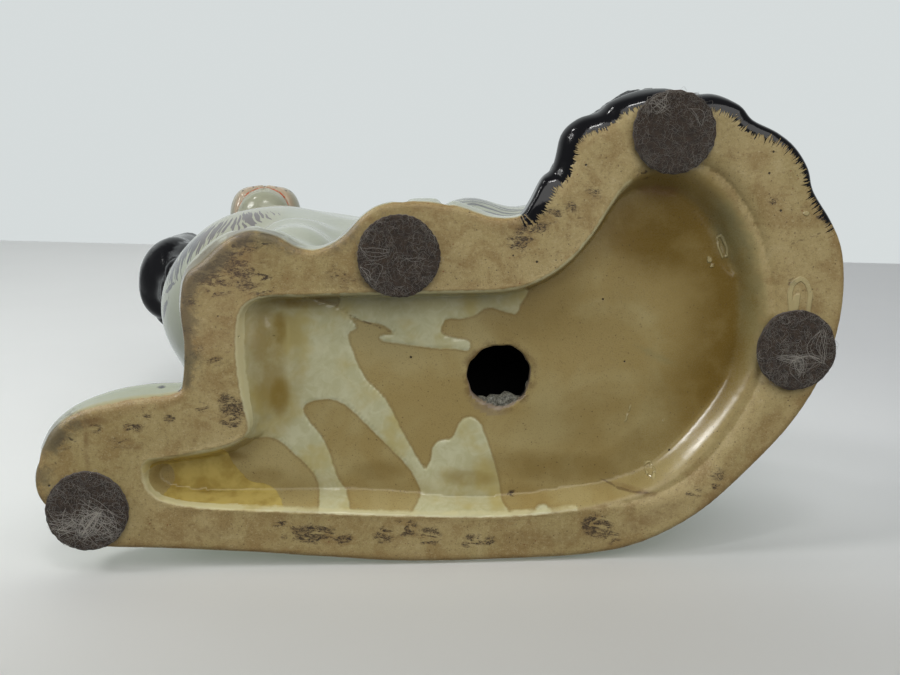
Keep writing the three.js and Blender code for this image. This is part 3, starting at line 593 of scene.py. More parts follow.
def dog(p):
    """Signed distance to the whole dog, negative inside the pottery."""
    both = mirrored(p)
    d = blend(body(p), ground(p), 12)
    d = paws(p, d) - collar(p)
    d = blend(d, ellipsoid(p, *LOCK), 1.2)
    d = blend(d, tail(p), 3)
    d = blend(d, head(both), 9) + face_lines(both)
    d = blend(d, ear(both), 3) + toes(p)
    d = carve(d, RIM_Z - p[:, 2], 2.2 + 7 * under_tail(p))
    by_lip = step((lip(p[:, 0], p[:, 1]) + 14) / 8)
    d = carve(d, -hollow(p), 1.4 + 7 * step((p[:, 0] - 45) / 40) * by_lip) - glaze_height(p)
    d = carve(d, -np.maximum(hole_edge(p), p[:, 2] - 30), 0.9)
    chamber = carve(ellipsoid(p, *CHAMBER), FLOOR_Z + WALL - p[:, 2], 3)
    d = carve(d, -chamber, 1.0)
    return blend(d, crumbs(p), 0.6)


def gradient(field, p):
    reach = 0.3
    out = np.empty_like(p)
    for k in range(3):
        shift = np.zeros(3, np.float32)
        shift[k] = reach
        out[:, k] = (field(p + shift) - field(p - shift)) / (2 * reach)
    return out


def settle(field, p, limit, rounds=2):
    """Points moved onto the surface along the slope of the field."""
    for _ in range(rounds):
        slope = gradient(field, p)
        move = (field(p) / ((slope * slope).sum(1) + 1e-6))[:, None] * slope
        length = np.sqrt((move * move).sum(1))
        p = p - move * np.minimum(1, limit / np.maximum(length, 1e-9))[:, None]
    return p


def surface_net(field, low, high, cell):
    """Quads round the surface: one vertex in each cell it crosses, one face on each crossed edge."""
    block = NET_BLOCK
    low = np.array(low, np.float32)
    blocks = np.ceil((np.array(high) - low) / cell / block).astype(int)
    size = block * cell
    grid = np.stack(np.meshgrid(*[np.arange(n) for n in blocks], indexing="ij"), -1).reshape(-1, 3)
    rough = field((low + (grid + 0.5) * size).astype(np.float32))
    value = rough.reshape(blocks)
    for axis in range(3):
        value = np.repeat(value, block, axis)
    value = np.pad(value, ((0, 1),) * 3, mode="edge")
    inner = np.stack(np.meshgrid(*[np.arange(block + 1)] * 3, indexing="ij"), -1).reshape(-1, 3)
    near = grid[np.abs(rough) < size * 1.4] * block
    for start in range(0, len(near), BLOCKS_AT_ONCE):
        at = (near[start:start + BLOCKS_AT_ONCE, None, :] + inner[None]).reshape(-1, 3)
        value[at[:, 0], at[:, 1], at[:, 2]] = field((low + at * cell).astype(np.float32))
    solid = value < 0
    n = np.array(value.shape)
    corners = [(a, b, c) for a in (0, 1) for b in (0, 1) for c in (0, 1)]
    filled = np.zeros(n - 1, np.int8)
    for a, b, c in corners:
        filled += solid[a:n[0] - 1 + a, b:n[1] - 1 + b, c:n[2] - 1 + c]
    cells = np.argwhere((filled > 0) & (filled < 8))
    number = np.full(filled.shape, -1, np.int64)
    number[tuple(cells.T)] = np.arange(len(cells))
    total = np.zeros((len(cells), 3))
    crossings = np.zeros(len(cells))
    for i, a in enumerate(corners):
        for b in corners[i + 1:]:
            if sum(abs(s - t) for s, t in zip(a, b)) != 1:
                continue
            va = value[tuple((cells + a).T)]
            vb = value[tuple((cells + b).T)]
            cut = (va < 0) != (vb < 0)
            t = va[cut] / (va[cut] - vb[cut])
            total[cut] += np.array(a) + t[:, None] * (np.array(b) - np.array(a))
            crossings[cut] += 1
    vertices = low + (cells + total / crossings[:, None]) * cell
    faces = []
    for axis in range(3):
        u, v = (axis + 1) % 3, (axis + 2) % 3
        ahead = np.roll(solid, -1, axis)
        edge = np.argwhere(solid != ahead)
        keep = (edge[:, axis] < n[axis] - 1) & (edge[:, u] > 0) & (edge[:, v] > 0)
        keep &= (edge[:, u] < n[u] - 1) & (edge[:, v] < n[v] - 1)
        edge = edge[keep]
        ring = []
        for du, dv in ((-1, -1), (0, -1), (0, 0), (-1, 0)):
            at = edge.copy()
            at[:, u] += du
            at[:, v] += dv
            ring.append(number[tuple(at.T)])
        quad = np.stack(ring, 1)
        inward = ~solid[tuple(edge.T)]
        quad[inward] = quad[inward][:, ::-1]
        faces.append(quad)
    return vertices.astype(np.float32), np.concatenate(faces)


def wants_detail(p):
    """Where the surface is divided once more: the underside and the face."""
    x, y, z = p.T
    under = z < FLOOR_Z + 1.0
    rim_of_hole = (np.abs(hole_edge(p)) < 3) & (z < FLOOR_Z + WALL + 3)
    face = (z > HEAD[2] - 34) & (z < HEAD[2] + 34) & (y < HEAD[1] - 22) & (np.abs(x - HEAD[0]) < 28)
    return under | rim_of_hole | face


def mesh_of_dog():
    """The surface as a mesh in the drawing's axes, with finer faces where they show."""
    vertices, faces = surface_net(dog, NET_LOW, NET_HIGH, CELL)
    vertices = settle(dog, vertices, 0.6 * CELL)
    mesh = bpy.data.meshes.new("glazed_spaniel")
    mesh.from_pydata(vertices.tolist(), [], faces.tolist())
    work = bmesh.new()
    work.from_mesh(mesh)
    work.verts.ensure_lookup_table()
    centres = np.array([f.calc_center_median() for f in work.faces], np.float32)
    chosen = wants_detail(centres)
    edges = {e for f, wanted in zip(work.faces, chosen) if wanted for e in f.edges}
    order = sorted(edges, key=lambda e: e.index)
    bmesh.ops.subdivide_edges(work, edges=order, cuts=1, use_grid_fill=True)
    work.to_mesh(mesh)
    work.free()
    return mesh


def points_of(mesh):
    flat = np.empty(len(mesh.vertices) * 3, np.float32)
    mesh.vertices.foreach_get("co", flat)
    return flat.reshape(-1, 3)


def along_outline(x, y):
    """Distance along the foot ring's outline to the point nearest to each place."""
    ring = smooth_ring(OUTLINE, 4)
    ahead = np.roll(ring, -1, 0)
    length = np.concatenate([[0], np.cumsum(np.hypot(*(ahead - ring).T))])
    out = np.empty(len(x))
    for start in range(0, len(x), PLACES_AT_ONCE):
        part = slice(start, start + PLACES_AT_ONCE)
        h, away = near_piece(x[part, None], y[part, None], ring.T, ahead.T)
        best = away.argmin(1)
        rows = np.arange(len(best))
        out[part] = length[best] + h[rows, best] * (length[best + 1] - length[best])
    return out


def paint_maps(p):
    """Distances and masks over the surface, from which the material draws glaze and paint."""
    x, y, z = p.T
    both = mirrored(p)
    fx, fy, fz = (both - np.array(HEAD, np.float32)).T
    outer = outline(x, y)
    edge = lip(x, y)
    pool = np.minimum(river(x, y), tongue(x, y))
    bowl = step((x - 45) / 25)
    beneath = z < FLOOR_Z + 2.5
    low = z < RIM_Z + 3
    under = beneath & (edge < 0.6) | (z < RIM_Z + 3 + 6 * bowl) & (outer < -3.5) & (edge < 9)
    along = along_outline(x, y)
    low_end, high_end = along_outline(*np.array([BLACK_FROM, BLACK_TO], float).T)

    def where_beneath(distance):
        return np.where(beneath, distance, OUT_OF_REACH)

    maps = {}
    inside = np.minimum(ellipsoid(p, *CHAMBER) - 1.5, np.maximum(hole_edge(p) - 1.2, z - 40))
    maps["foot"] = np.where(under | (inside < 0), -4.0, z - RIM_Z - 1.1)
    maps["lip"] = np.where(beneath, edge / (1 + 5 * bowl), 20.0)
    maps["rim"] = outer
    maps["along"] = along
    maps["pool"] = where_beneath(np.maximum(pool, edge - 0.3))
    groove = np.maximum.reduce([x + 50, -patch(x, y), np.minimum(x + 63, 47 - y)])
    island = np.hypot(x - ISLAND[0], y - ISLAND[1]) - ISLAND[2]
    maps["groove"] = where_beneath(np.maximum.reduce([groove, -island, edge - 0.3]))
    reach = BLACK_REACH - 2.6 * step((x - 78) / 34) - 1.5 * step((30 - x) / 8)
    wrap = -outer - reach
    by_tail = np.maximum(low_end - along, along - high_end) * 0.5
    skin = np.minimum(tail(p) - 3.0, np.where((z < 34) & (outer > -6), by_tail, OUT_OF_REACH))
    tail_black = np.where(z < RIM_Z + 3.5, np.maximum(by_tail, wrap), skin)
    tail_black = np.where(under & (z > RIM_Z + 3), OUT_OF_REACH, tail_black)
    maps["black"] = np.minimum(ear(both) - 1.0, tail_black)
    foot_line = wall_foot(x, y)
    maps["scuff"] = rounds(x, y, SCUFFS) * beneath
    maps["stain"] = patches(x, y, STAINS) * beneath
    # A dark ochre ring at the foot of the bowl's slope, strongest on its upper and right side, partly
    # wash and partly painted shade; a thin band darkens the foot of every wall.
    ring = 0.85 * bell(foot_line + 6, 12) * bowl * step((46 - y) / 34) + 0.3 * bell(foot_line + 1.5, 3.5)
    maps["tint"] = np.maximum(patches(x, y, OCHRE_AND_SHADE), ring) * beneath * step((0.8 - edge) / 1.6)
    maps["grey"] = patches(x, y, GREYS) * beneath * step((4 - edge) / 4)
    edging = 0.95 * bell(outer + 1.4, 2.6) * step((-66 - x) / 6)
    edging = edging * step((17 - y) / 3) * step((y + 30) / 6)
    maps["grime"] = np.maximum(rounds(x, y, GRIME) * step((outer + 8) / 5), edging) * (z < RIM_Z + 6)
    maps["thread"] = where_beneath(to_paths(x, y, THREADS) + np.where(x > 95, -0.35, 0.1))
    maps["crack"] = where_beneath(to_paths(x, y, CRACKS))
    wide = 0.6 + 0.7 * np.maximum(step((-56 - x) / 6) * step((30 - y) / 8), step((-86 - x) / 5))
    wide = wide + 0.5 * step((x - 16) / 8) * step((-14 - y) / 6)
    bead = np.abs(edge + 0.6 * wide) - wide
    maps["bead"] = np.where(low, bead, OUT_OF_REACH) + OUT_OF_REACH * (1 - bead_reach(x, y))
    # height above the hollow's ceiling inside the hole and chamber, which the material turns into painted
    # shade
    maps["inner"] = np.where(inside < 0, z - FLOOR_Z, 0)
    maps["stroke"] = np.minimum.reduce([limb(p, knots, 0.5) for knots in STROKES])
    above = mouth_line(fx, fz)
    maps["mouth"] = np.abs(above) + 6 * np.maximum(fx - 15.5, 0) + 20 * (fy > -16)
    blush = (0.35 + 0.65 * bell(above - 1, 3.5)) * (0.35 + 0.65 * step(above / 2))
    maps["muzzle"] = blush * step((-14 - fy) / 6) * step(-fz / 8) * step((20 - fx) / 6)
    maps["eye"] = from_eye(fx, fz) + 20 * (fy > -20)
    maps["ink"] = face_ink(fx, fy, fz)
    gilt = np.minimum(np.abs(collar_height(p)) - 3.2, ellipsoid(p, *LOCK) - 0.2)
    near_head = np.minimum(head(both), ear(both))
    maps["gilt"] = np.where(near_head < 1.0, OUT_OF_REACH, gilt)
    maps["crumb"] = crumbs(p)
    maps["hole"] = np.where(z < FLOOR_Z + WALL + 20, hole_edge(p), 30.0)
    maps["hair"] = hair_mask(x, y, z, outer)
    around = np.arctan2(y - 12, x + 60) * 42
    lean = np.clip(0.44 - 0.0435 * (around + 92), -0.3, 0.44) * (np.abs(z - 125) < 60)
    haunch = step((x + 28) / 10)
    maps["hair_u"] = (around - lean * (z - 130)) * (1 - haunch) + (0.9 * z + 0.3 * x) * haunch
    maps["hair_v"] = (z + 0.35 * y) * (1 - haunch) + x * haunch
    return maps


# Dark paint on the face: whisker dots as distance from the middle and height.
WHISKERS = [(9.4, -14.2), (2.8, -15.6), (5.7, -17.6), (12.6, -17), (7.2, -13.4), (10.4, -19.4)]


def from_eye(fx, fz):
    """Distance from the middle of the eye, a little wider than high."""
    return np.hypot((fx - 14.8) / 1.25, fz - 9.5)


def face_ink(fx, fy, fz):
    """Distance outside the black lines of the face."""
    nose = np.sqrt((fx / 7.4) ** 2 + ((fz + 4.6) / 5.2) ** 2) * 5.2 - 5.2
    nose = np.where(fy < -42, nose, OUT_OF_REACH)
    philtrum = np.maximum(fx - 0.5, np.abs(fz + 13) - 3.5)
    dots = np.full(len(fx), OUT_OF_REACH)
    for dx, dz in WHISKERS:
        dots = np.minimum(dots, np.hypot(fx - dx, fz - dz) - 0.62)
    lid = np.abs(from_eye(fx, fz) - 5.4) - 0.5
    brow_line = np.abs(fz - 19.5 + 0.02 * (fx - 14) ** 2) - 0.8
    brow_line = brow_line + 4 * np.maximum(np.abs(fx - 14.5) - 7.5, 0)
    front = np.where(fy < -14, 0.0, OUT_OF_REACH)
    ink = np.minimum(np.minimum(philtrum, dots), np.minimum(lid, brow_line))
    return np.minimum(nose, ink + front)


def hair_mask(x, y, z, outer):
    """Strength of the grey brushed hairs."""
    fringe = 1.35 * bell(x + 73, 15) * bell(z - 128, 15) * step((-12 - y) / 6)
    bib = 0.55 * bell(z - 160, 34) * step((-2 - y) / 14) * step((-38 - x) / 12)
    side = 0.4 * bell(z - 120, 60) * step((y + 24) / 20) * step((-88 - x) / 10)
    haunch = step((1.3 - np.hypot((x - 17) / 25, (z - 44) / 46)) / 0.7) * step((-14 - y) / 10)
    paw = 0.5 * bell(z - 13, 9) * step((outer + 4) / 3) * step((-40 - x) / 10)
    back = 0.45 * bell(z - 190, 50) * step((x + 60) / 20)
    flank = 1.25 * step((-76 - x) / 10) * bell(z - 128, 17) * step((6 - y) / 8)
    all_hair = np.maximum.reduce([fringe, bib, side, haunch, paw, back, flank])
    return np.clip(all_hair, 0, 1.4) * step((z - 6) / 6)


def srgb(red, green, blue):
    """A colour as it looks on a screen, 0 to 255, turned into linear light."""
    out = []
    for v in (red, green, blue):
        c = v / 255
        out.append(c / 12.92 if c <= 0.04045 else ((c + 0.055) / 1.055) ** 2.4)
    return (*out, 1.0)


class Graph:
    """A material's nodes, with short calls for the few kinds used here."""

    def __init__(self, name):
        self.material = bpy.data.materials.new(name)
        self.material.use_nodes = True
        self.nodes = self.material.node_tree.nodes
        self.links = self.material.node_tree.links
        self.shader = self.nodes["Principled BSDF"]
        self.object_place = self.nodes.new("ShaderNodeTexCoord").outputs["Object"]

    def feed(self, socket, value):
        if isinstance(value, bpy.types.NodeSocket):
            self.links.new(value, socket)
        else:
            socket.default_value = value

    def attribute(self, name):
        node = self.nodes.new("ShaderNodeAttribute")
        node.attribute_name = name
        return node.outputs["Fac"]

    def calc(self, operation, a, b=0.0):
        node = self.nodes.new("ShaderNodeMath")
        node.operation = operation
        self.feed(node.inputs[0], a)
        self.feed(node.inputs[1], b)
        return node.outputs[0]

    def times(self, a, b):
        return self.calc("MULTIPLY", a, b)

    def plus(self, a, b):
        return self.calc("ADD", a, b)

    def most(self, a, b):
        return self.calc("MAXIMUM", a, b)

    def rest(self, a):
        """What is left of one."""
        return self.calc("SUBTRACT", 1.0, a)

    def ramp(self, value, start, end, low=0.0, high=1.0):
        """Eases from low to high while the value goes from start to end."""
        node = self.nodes.new("ShaderNodeMapRange")
        node.interpolation_type = "SMOOTHSTEP"
        self.feed(node.inputs["Value"], value)
        for name, number in (("From Min", start), ("From Max", end), ("To Min", low), ("To Max", high)):
            self.feed(node.inputs[name], number)
        return node.outputs[0]

    def mix(self, factor, a, b):
        node = self.nodes.new("ShaderNodeMix")
        node.data_type = "RGBA"
        self.feed(node.inputs["Factor"], factor)
        self.feed(node.inputs["A"], a)
        self.feed(node.inputs["B"], b)
        return next(s for s in node.outputs if s.type == "RGBA")

    def place(self, stretch):
        """The object's own place, stretched."""
        node = self.nodes.new("ShaderNodeVectorMath")
        node.operation = "MULTIPLY"
        self.feed(node.inputs[0], self.object_place)
        node.inputs[1].default_value = stretch
        return node.outputs[0]

    def axis(self, name):
        node = self.nodes.new("ShaderNodeSeparateXYZ")
        self.feed(node.inputs[0], self.object_place)
        return node.outputs[name]

    def pack(self, x, y, z=0.0):
        node = self.nodes.new("ShaderNodeCombineXYZ")
        for socket, value in zip(node.inputs, (x, y, z)):
            self.feed(socket, value)
        return node.outputs[0]

    def noise(self, size, detail=4.0, rough=0.55, at=None, warp=0.0):
        """Cloudy noise with features about size millimetres across, or of unit size at a given place."""
        node = self.nodes.new("ShaderNodeTexNoise")
        self.feed(node.inputs["Vector"], at if at is not None else self.object_place)
        node.inputs["Scale"].default_value = 1.0 / (size * MM) if at is None else 1.0 / size
        node.inputs["Detail"].default_value = detail
        node.inputs["Roughness"].default_value = rough
        node.inputs["Distortion"].default_value = warp
        return node.outputs["Fac"]

    def spots(self, size, at=None):
        """Distance from scattered points about size millimetres apart."""
        node = self.nodes.new("ShaderNodeTexVoronoi")
        self.feed(node.inputs["Vector"], at if at is not None else self.object_place)
        node.inputs["Scale"].default_value = 1.0 / (size * MM) if at is None else 1.0 / size
        return node.outputs["Distance"]

    def bump(self, height, distance, under=None):
        """The normal of a relief so many millimetres high, laid over another one."""
        node = self.nodes.new("ShaderNodeBump")
        node.inputs["Distance"].default_value = distance * MM
        node.inputs["Strength"].default_value = 1.0
        self.feed(node.inputs["Height"], height)
        if under is not None:
            self.feed(node.inputs["Normal"], under)
        return node.outputs["Normal"]


def pottery_material():
    """White glaze, bare tan clay, glaze pools, black and grey paint, a gilt collar."""
    g = Graph("glazed_pottery")
    edge_noise = g.calc("SUBTRACT", g.noise(2.2, 3), 0.5)
    fine_noise = g.noise(0.5, 5, 0.7)
    broad = g.noise(38, 3)
    cloud = g.noise(9, 5, 0.6, warp=0.6)

    def ragged(name, amount):
        """A distance map whose zero line wanders a little, as a brush does."""
        return g.plus(g.attribute(name), g.times(edge_noise, amount))

    # bare clay with fine grains, dark and rusty specks, and pits
    grain = g.noise(0.5, 2, 0.8)
    clay = g.mix(g.ramp(broad, 0.36, 0.64), srgb(180, 160, 106), srgb(190, 169, 116))
    clay = g.mix(g.ramp(cloud, 0.44, 0.64, 0, 0.6), clay, srgb(154, 125, 72))
    clay = g.mix(g.ramp(cloud, 0.42, 0.28, 0, 0.4), clay, srgb(206, 188, 138))
    margin = g.times(g.ramp(g.attribute("rim"), -5.0, 0.0), g.ramp(g.noise(11, 4), 0.34, 0.56))
    clay = g.mix(g.times(margin, 0.5), clay, srgb(152, 116, 64))
    mottle = g.noise(1.5, 4, 0.75)
    clay = g.mix(g.ramp(mottle, 0.52, 0.72, 0, 0.5), clay, srgb(132, 108, 66))
    clay = g.mix(g.ramp(mottle, 0.46, 0.3, 0, 0.4), clay, srgb(206, 190, 144))
    clay = g.mix(g.ramp(grain, 0.56, 0.76, 0, 0.6), clay, srgb(100, 80, 52))
    clay = g.mix(g.ramp(grain, 0.44, 0.26, 0, 0.4), clay, srgb(218, 206, 164))
    speck = g.times(g.ramp(g.spots(1.9), 0.16, 0.06), g.ramp(g.noise(14, 2), 0.42, 0.6))
    rust = g.times(g.ramp(g.spots(3.4), 0.1, 0.05), g.ramp(g.noise(20, 2), 0.45, 0.6))
    pit = g.times(g.ramp(g.spots(9.5), 0.05, 0.025), 0.9)
    clay = g.mix(g.times(speck, 0.75), clay, srgb(74, 56, 38))
    clay = g.mix(g.times(rust, 0.7), clay, srgb(132, 74, 36))
    clay = g.mix(pit, clay, srgb(30, 24, 20))

    # inside the hollow the clay carries a thin wash, ochre where it lies thick, grey-green in places; in
    # the bowl the ochre is partly painted shade
    depth = ragged("lip", 1.0)
    tint = g.times(g.attribute("tint"), g.ramp(g.noise(7, 4, 0.6), 0.3, 0.62, 0.8, 1.1))
    grey = g.times(g.attribute("grey"), g.ramp(g.noise(5, 4), 0.3, 0.55, 0.4, 1.0))
    wash = g.mix(g.ramp(g.noise(26, 3, warp=0.4), 0.38, 0.62), srgb(188, 171, 118), srgb(175, 153, 96))
    wash = g.mix(g.ramp(mottle, 0.54, 0.74, 0, 0.25), wash, srgb(150, 124, 72))
    wash = g.mix(g.ramp(grain, 0.55, 0.75, 0, 0.6), wash, srgb(112, 92, 54))
    # ochre wash, partly painted shade in the bowl
    wash = g.mix(tint, wash, srgb(126, 101, 38))
    wash = g.mix(grey, wash, srgb(152, 145, 102))
    wash = g.mix(g.times(speck, 0.65), wash, srgb(78, 58, 34))
    wash = g.mix(pit, wash, srgb(30, 24, 20))
    color = g.mix(g.ramp(depth, 0.4, -0.6), clay, wash)

    # scuffs, brown stains and cracks
    wide = g.noise(1, 3, 0.6, at=g.place((150, 330, 330)), warp=1.0)
    patchy = g.times(g.attribute("scuff"), g.ramp(wide, 0.38, 0.56))
    color = g.mix(g.ramp(patchy, 0.1, 0.9, 0, 0.5), color, srgb(112, 86, 54))
    fine = g.noise(1, 5, 0.8, at=g.place((600, 1150, 1150)), warp=1.4)
    scuff = g.times(patchy, g.ramp(fine, 0.42, 0.6))
    color = g.mix(g.ramp(scuff, 0.1, 0.5, 0, 0.9), color, srgb(58, 45, 34))
    stained = g.times(g.attribute("stain"), g.ramp(g.noise(3, 4), 0.3, 0.6, 0.3, 1.0))
    color = g.mix(g.times(stained, 0.8), color, srgb(118, 84, 42))

    # pools of pale glaze with a brown line at the edge
    pool = ragged("pool", 0.9)
    milky = g.ramp(g.noise(4, 5, 0.6, warp=0.8), 0.35, 0.65)
    pale = g.mix(milky, srgb(206, 203, 160), srgb(218, 216, 178))
    pale = g.mix(g.ramp(g.noise(16, 3), 0.46, 0.66, 0, 0.8), pale, srgb(200, 185, 118))
    # the same ochre, partly painted shade, over the pools
    pale = g.mix(tint, pale, srgb(150, 126, 60))
    pale = g.mix(g.times(grey, 0.35), pale, srgb(160, 158, 120))
    color = g.mix(g.ramp(g.calc("ABSOLUTE", pool), 1.0, 0.1, 0, 0.3), color, srgb(124, 96, 48))
    color = g.mix(g.ramp(pool, 0.3, -0.5), color, pale)
    crack = ragged("crack", 0.6)
    color = g.mix(g.ramp(crack, 0.4, 0.1, 0, 0.55), color, srgb(88, 64, 36))

    # ochre glaze in the groove
    groove = ragged("groove", 0.9)
    ochre = g.mix(g.ramp(g.noise(7, 4), 0.35, 0.65), srgb(176, 151, 76), srgb(206, 184, 104))
    color = g.mix(g.ramp(groove, 0.2, -0.3), color, ochre)

    # the bead of glaze along the lip, and raised threads of it
    bead = g.ramp(ragged("bead", 1.0), 0.35, -0.35)
    bead = g.times(bead, g.ramp(g.noise(16, 3), 0.36, 0.54, 0.45, 1.0))
    color = g.mix(g.times(bead, 0.85), color, srgb(224, 217, 170))
    thread = g.ramp(g.attribute("thread"), 0.6, 0.25)
    color = g.mix(g.times(thread, 0.55), color, srgb(208, 196, 146))

    # white glaze over everything above the foot, grimy along its lower edge
    height = ragged("foot", 1.4)
    white = g.mix(g.ramp(broad, 0.35, 0.7), srgb(181, 186, 167), srgb(170, 176, 153))
    white = g.mix(g.ramp(height, 2.4, 0.2, 0, 0.75), white, srgb(182, 172, 126))
    glazed = g.ramp(height, -0.1, 0.35)
    color = g.mix(glazed, color, white)
    grime = g.times(g.attribute("grime"), g.ramp(g.noise(1.7, 5, 0.7, warp=0.6), 0.38, 0.6))
    grime = g.most(grime, g.ramp(g.attribute("grime"), 0.55, 0.95, 0, 0.85))
    color = g.mix(g.times(grime, 0.85), color, srgb(98, 92, 70))

    # grey hairs brushed over the white, in spindles along the fall of the coat
    around = g.attribute("hair_u")
    down = g.attribute("hair_v")
    across = g.plus(around, g.times(g.noise(24, 2), 9.0))
    spindle = g.spots(1, at=g.pack(g.times(across, 0.62), g.times(down, 0.05)))
    second = g.spots(1, at=g.pack(g.times(across, 0.85), g.times(down, 0.062), 5.0))
    spindle = g.calc("MINIMUM", spindle, second)
    reach = g.ramp(g.attribute("hair"), 0.2, 1.4, 0.0, 0.62)
    hairs = g.ramp(g.calc("SUBTRACT", reach, spindle), 0.0, 0.09)
    stroke = g.ramp(ragged("stroke", 0.8), 1.0, 0.4)
    hairs = g.times(g.most(hairs, stroke), glazed)
    color = g.mix(g.times(hairs, 0.88), color, srgb(80, 80, 90))

    # the face: pink muzzle, red mouth, amber eyes and black lines
    color = g.mix(g.times(g.attribute("muzzle"), 0.5), color, srgb(226, 180, 150))
    mouth = g.ramp(ragged("mouth", 0.5), 0.85, 0.45)
    color = g.mix(mouth, color, srgb(196, 84, 42))
    eye = g.attribute("eye")
    color = g.mix(g.ramp(eye, 5.2, 4.9), color, srgb(214, 158, 60))
    color = g.mix(g.ramp(eye, 2.6, 2.3), color, srgb(14, 13, 14))
    ink = ragged("ink", 0.4)
    color = g.mix(g.ramp(ink, 0.2, -0.1), color, srgb(18, 17, 19))

    gilt = g.ramp(ragged("gilt", 0.5), 0.15, -0.15)
    color = g.mix(gilt, color, srgb(176, 132, 62))

    # black ears and tail, with brushed teeth where the black ends on the ring, longer at the right
    line = g.attribute("along")
    tooth = g.ramp(g.noise(1, 3, 0.7, at=g.pack(g.times(line, 0.9), 0.0)), 0.3, 0.72, -1.2, 1.4)
    short = g.ramp(g.noise(1, 2, 0.7, at=g.pack(g.times(line, 2.4), 3.0)), 0.3, 0.7, -0.7, 0.7)
    tooth = g.times(g.plus(tooth, short), g.ramp(g.axis("X"), 0.07, 0.115, 1.0, 1.5))
    tooth = g.times(tooth, g.ramp(g.attribute("foot"), 0.3, -0.4))
    dark = g.plus(g.plus(g.attribute("black"), tooth), g.times(edge_noise, 0.5))
    dark = g.ramp(dark, 0.16, -0.16)
    color = g.mix(dark, color, srgb(12, 12, 16))

    # a chipped pale edge, plaster crumbs and a brown stain round the hole, and painted shade inside it:
    # its wall and the chamber above are drawn near black
    hole = g.attribute("hole")
    stain = g.times(g.ramp(hole, 3.4, 0.4), g.ramp(g.noise(4, 4), 0.4, 0.62))
    color = g.mix(g.times(stain, 0.6), color, srgb(104, 76, 40))
    inner = g.attribute("inner")
    color = g.mix(g.ramp(inner, 0.15, 0.5, 0, 0.8), color, srgb(150, 134, 118))
    # painted shade: near black deep inside the hole and chamber, where little light reaches
    color = g.mix(g.ramp(g.plus(inner, edge_noise), 1.2, 2.6), color, srgb(4, 4, 4))
    crumb = g.mix(g.ramp(grain, 0.4, 0.6), srgb(84, 84, 74), srgb(132, 130, 116))
    color = g.mix(g.ramp(g.attribute("crumb"), 0.5, 0.1), color, crumb)
    g.feed(g.shader.inputs["Base Color"], color)

    bare = g.rest(g.most(glazed, dark))
    wet = g.most(g.ramp(pool, 0.2, -0.3), g.ramp(groove, 0.2, -0.3))
    wet = g.most(wet, g.most(bead, thread))
    in_hollow = g.ramp(depth, 0.6, -0.8)
    dry = g.ramp(fine_noise, 0.2, 0.8, 0.42, 0.6)
    smooth = g.ramp(g.axis("X"), 0.055, 0.085, 0.18, 0.25)
    dry = g.calc("SUBTRACT", dry, g.times(in_hollow, smooth))
    dry = g.calc("SUBTRACT", dry, g.times(wet, 0.2))
    dry = g.plus(dry, g.times(g.ramp(inner, 1.0, 2.5), 0.5))
    rough = g.plus(g.times(bare, dry), g.times(g.most(glazed, dark), 0.12))
    rough = g.plus(rough, g.times(g.ramp(cloud, 0.5, 0.8), 0.05))
    g.feed(g.shader.inputs["Roughness"], rough)
    g.feed(g.shader.inputs["Metallic"], g.times(gilt, 0.85))

    even = g.times(in_hollow, g.ramp(g.axis("X"), 0.055, 0.085, 0.3, 0.92))
    even = g.rest(g.most(even, wet))
    grit = g.times(g.times(fine_noise, bare), even)
    normal = g.bump(grit, 0.12)
    normal = g.bump(g.noise(6, 2), 0.12, normal)
    normal = g.bump(thread, 0.35, normal)
    normal = g.bump(g.rest(g.times(pit, bare)), 0.25, normal)
    g.feed(g.shader.inputs["Normal"], normal)
    return g.material


def felt_material():
    """Dark brown pressed felt with paler fibres and white lint."""
    g = Graph("felt")
    strand = g.noise(0.3, 5, 0.75, warp=2.5)
    felt = g.mix(g.ramp(g.noise(2.0, 5, 0.7), 0.35, 0.65), srgb(43, 33, 26), srgb(76, 61, 48))
    felt = g.mix(g.ramp(strand, 0.52, 0.68, 0, 0.9), felt, srgb(140, 122, 102))
    felt = g.mix(g.ramp(strand, 0.48, 0.34, 0, 0.85), felt, srgb(22, 16, 13))
    color = g.mix(g.attribute("lint"), felt, srgb(222, 216, 204))
    g.feed(g.shader.inputs["Base Color"], color)
    g.shader.inputs["Roughness"].default_value = 0.95
    g.shader.inputs["Sheen Weight"].default_value = 0.25
    g.shader.inputs["Sheen Roughness"].default_value = 0.5
    g.feed(g.shader.inputs["Normal"], g.bump(strand, 0.22))
    return g.material


def add_maps(mesh, maps):
    for name, values in maps.items():
        layer = mesh.attributes.new(name, "FLOAT", "POINT")
        layer.data.foreach_set("value", np.ascontiguousarray(values, np.float32))


def add_object(name, mesh, material):
    obj = bpy.data.objects.new(name, mesh)
    bpy.context.scene.collection.objects.link(obj)
    mesh.materials.append(material)
    return obj


def make_dog():
    mesh = mesh_of_dog()
    p = settle(dog, points_of(mesh), 0.4 * CELL, 1)
    maps = paint_maps(p)
    normals = gradient(dog, p)
    normals /= np.maximum(np.sqrt((normals * normals).sum(1)), 1e-6)[:, None]
    placed = (p + SHIFT.astype(np.float32)) * MM
    mesh.vertices.foreach_set("co", placed.ravel())
    add_maps(mesh, maps)
    mesh.polygons.foreach_set("use_smooth", np.ones(len(mesh.polygons), bool))
    mesh.update()
    mesh.normals_split_custom_set_from_vertices(normals.tolist())
    piece = add_object("glazed_spaniel", mesh, pottery_material())
    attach(piece, "root")
    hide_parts("spaniel")


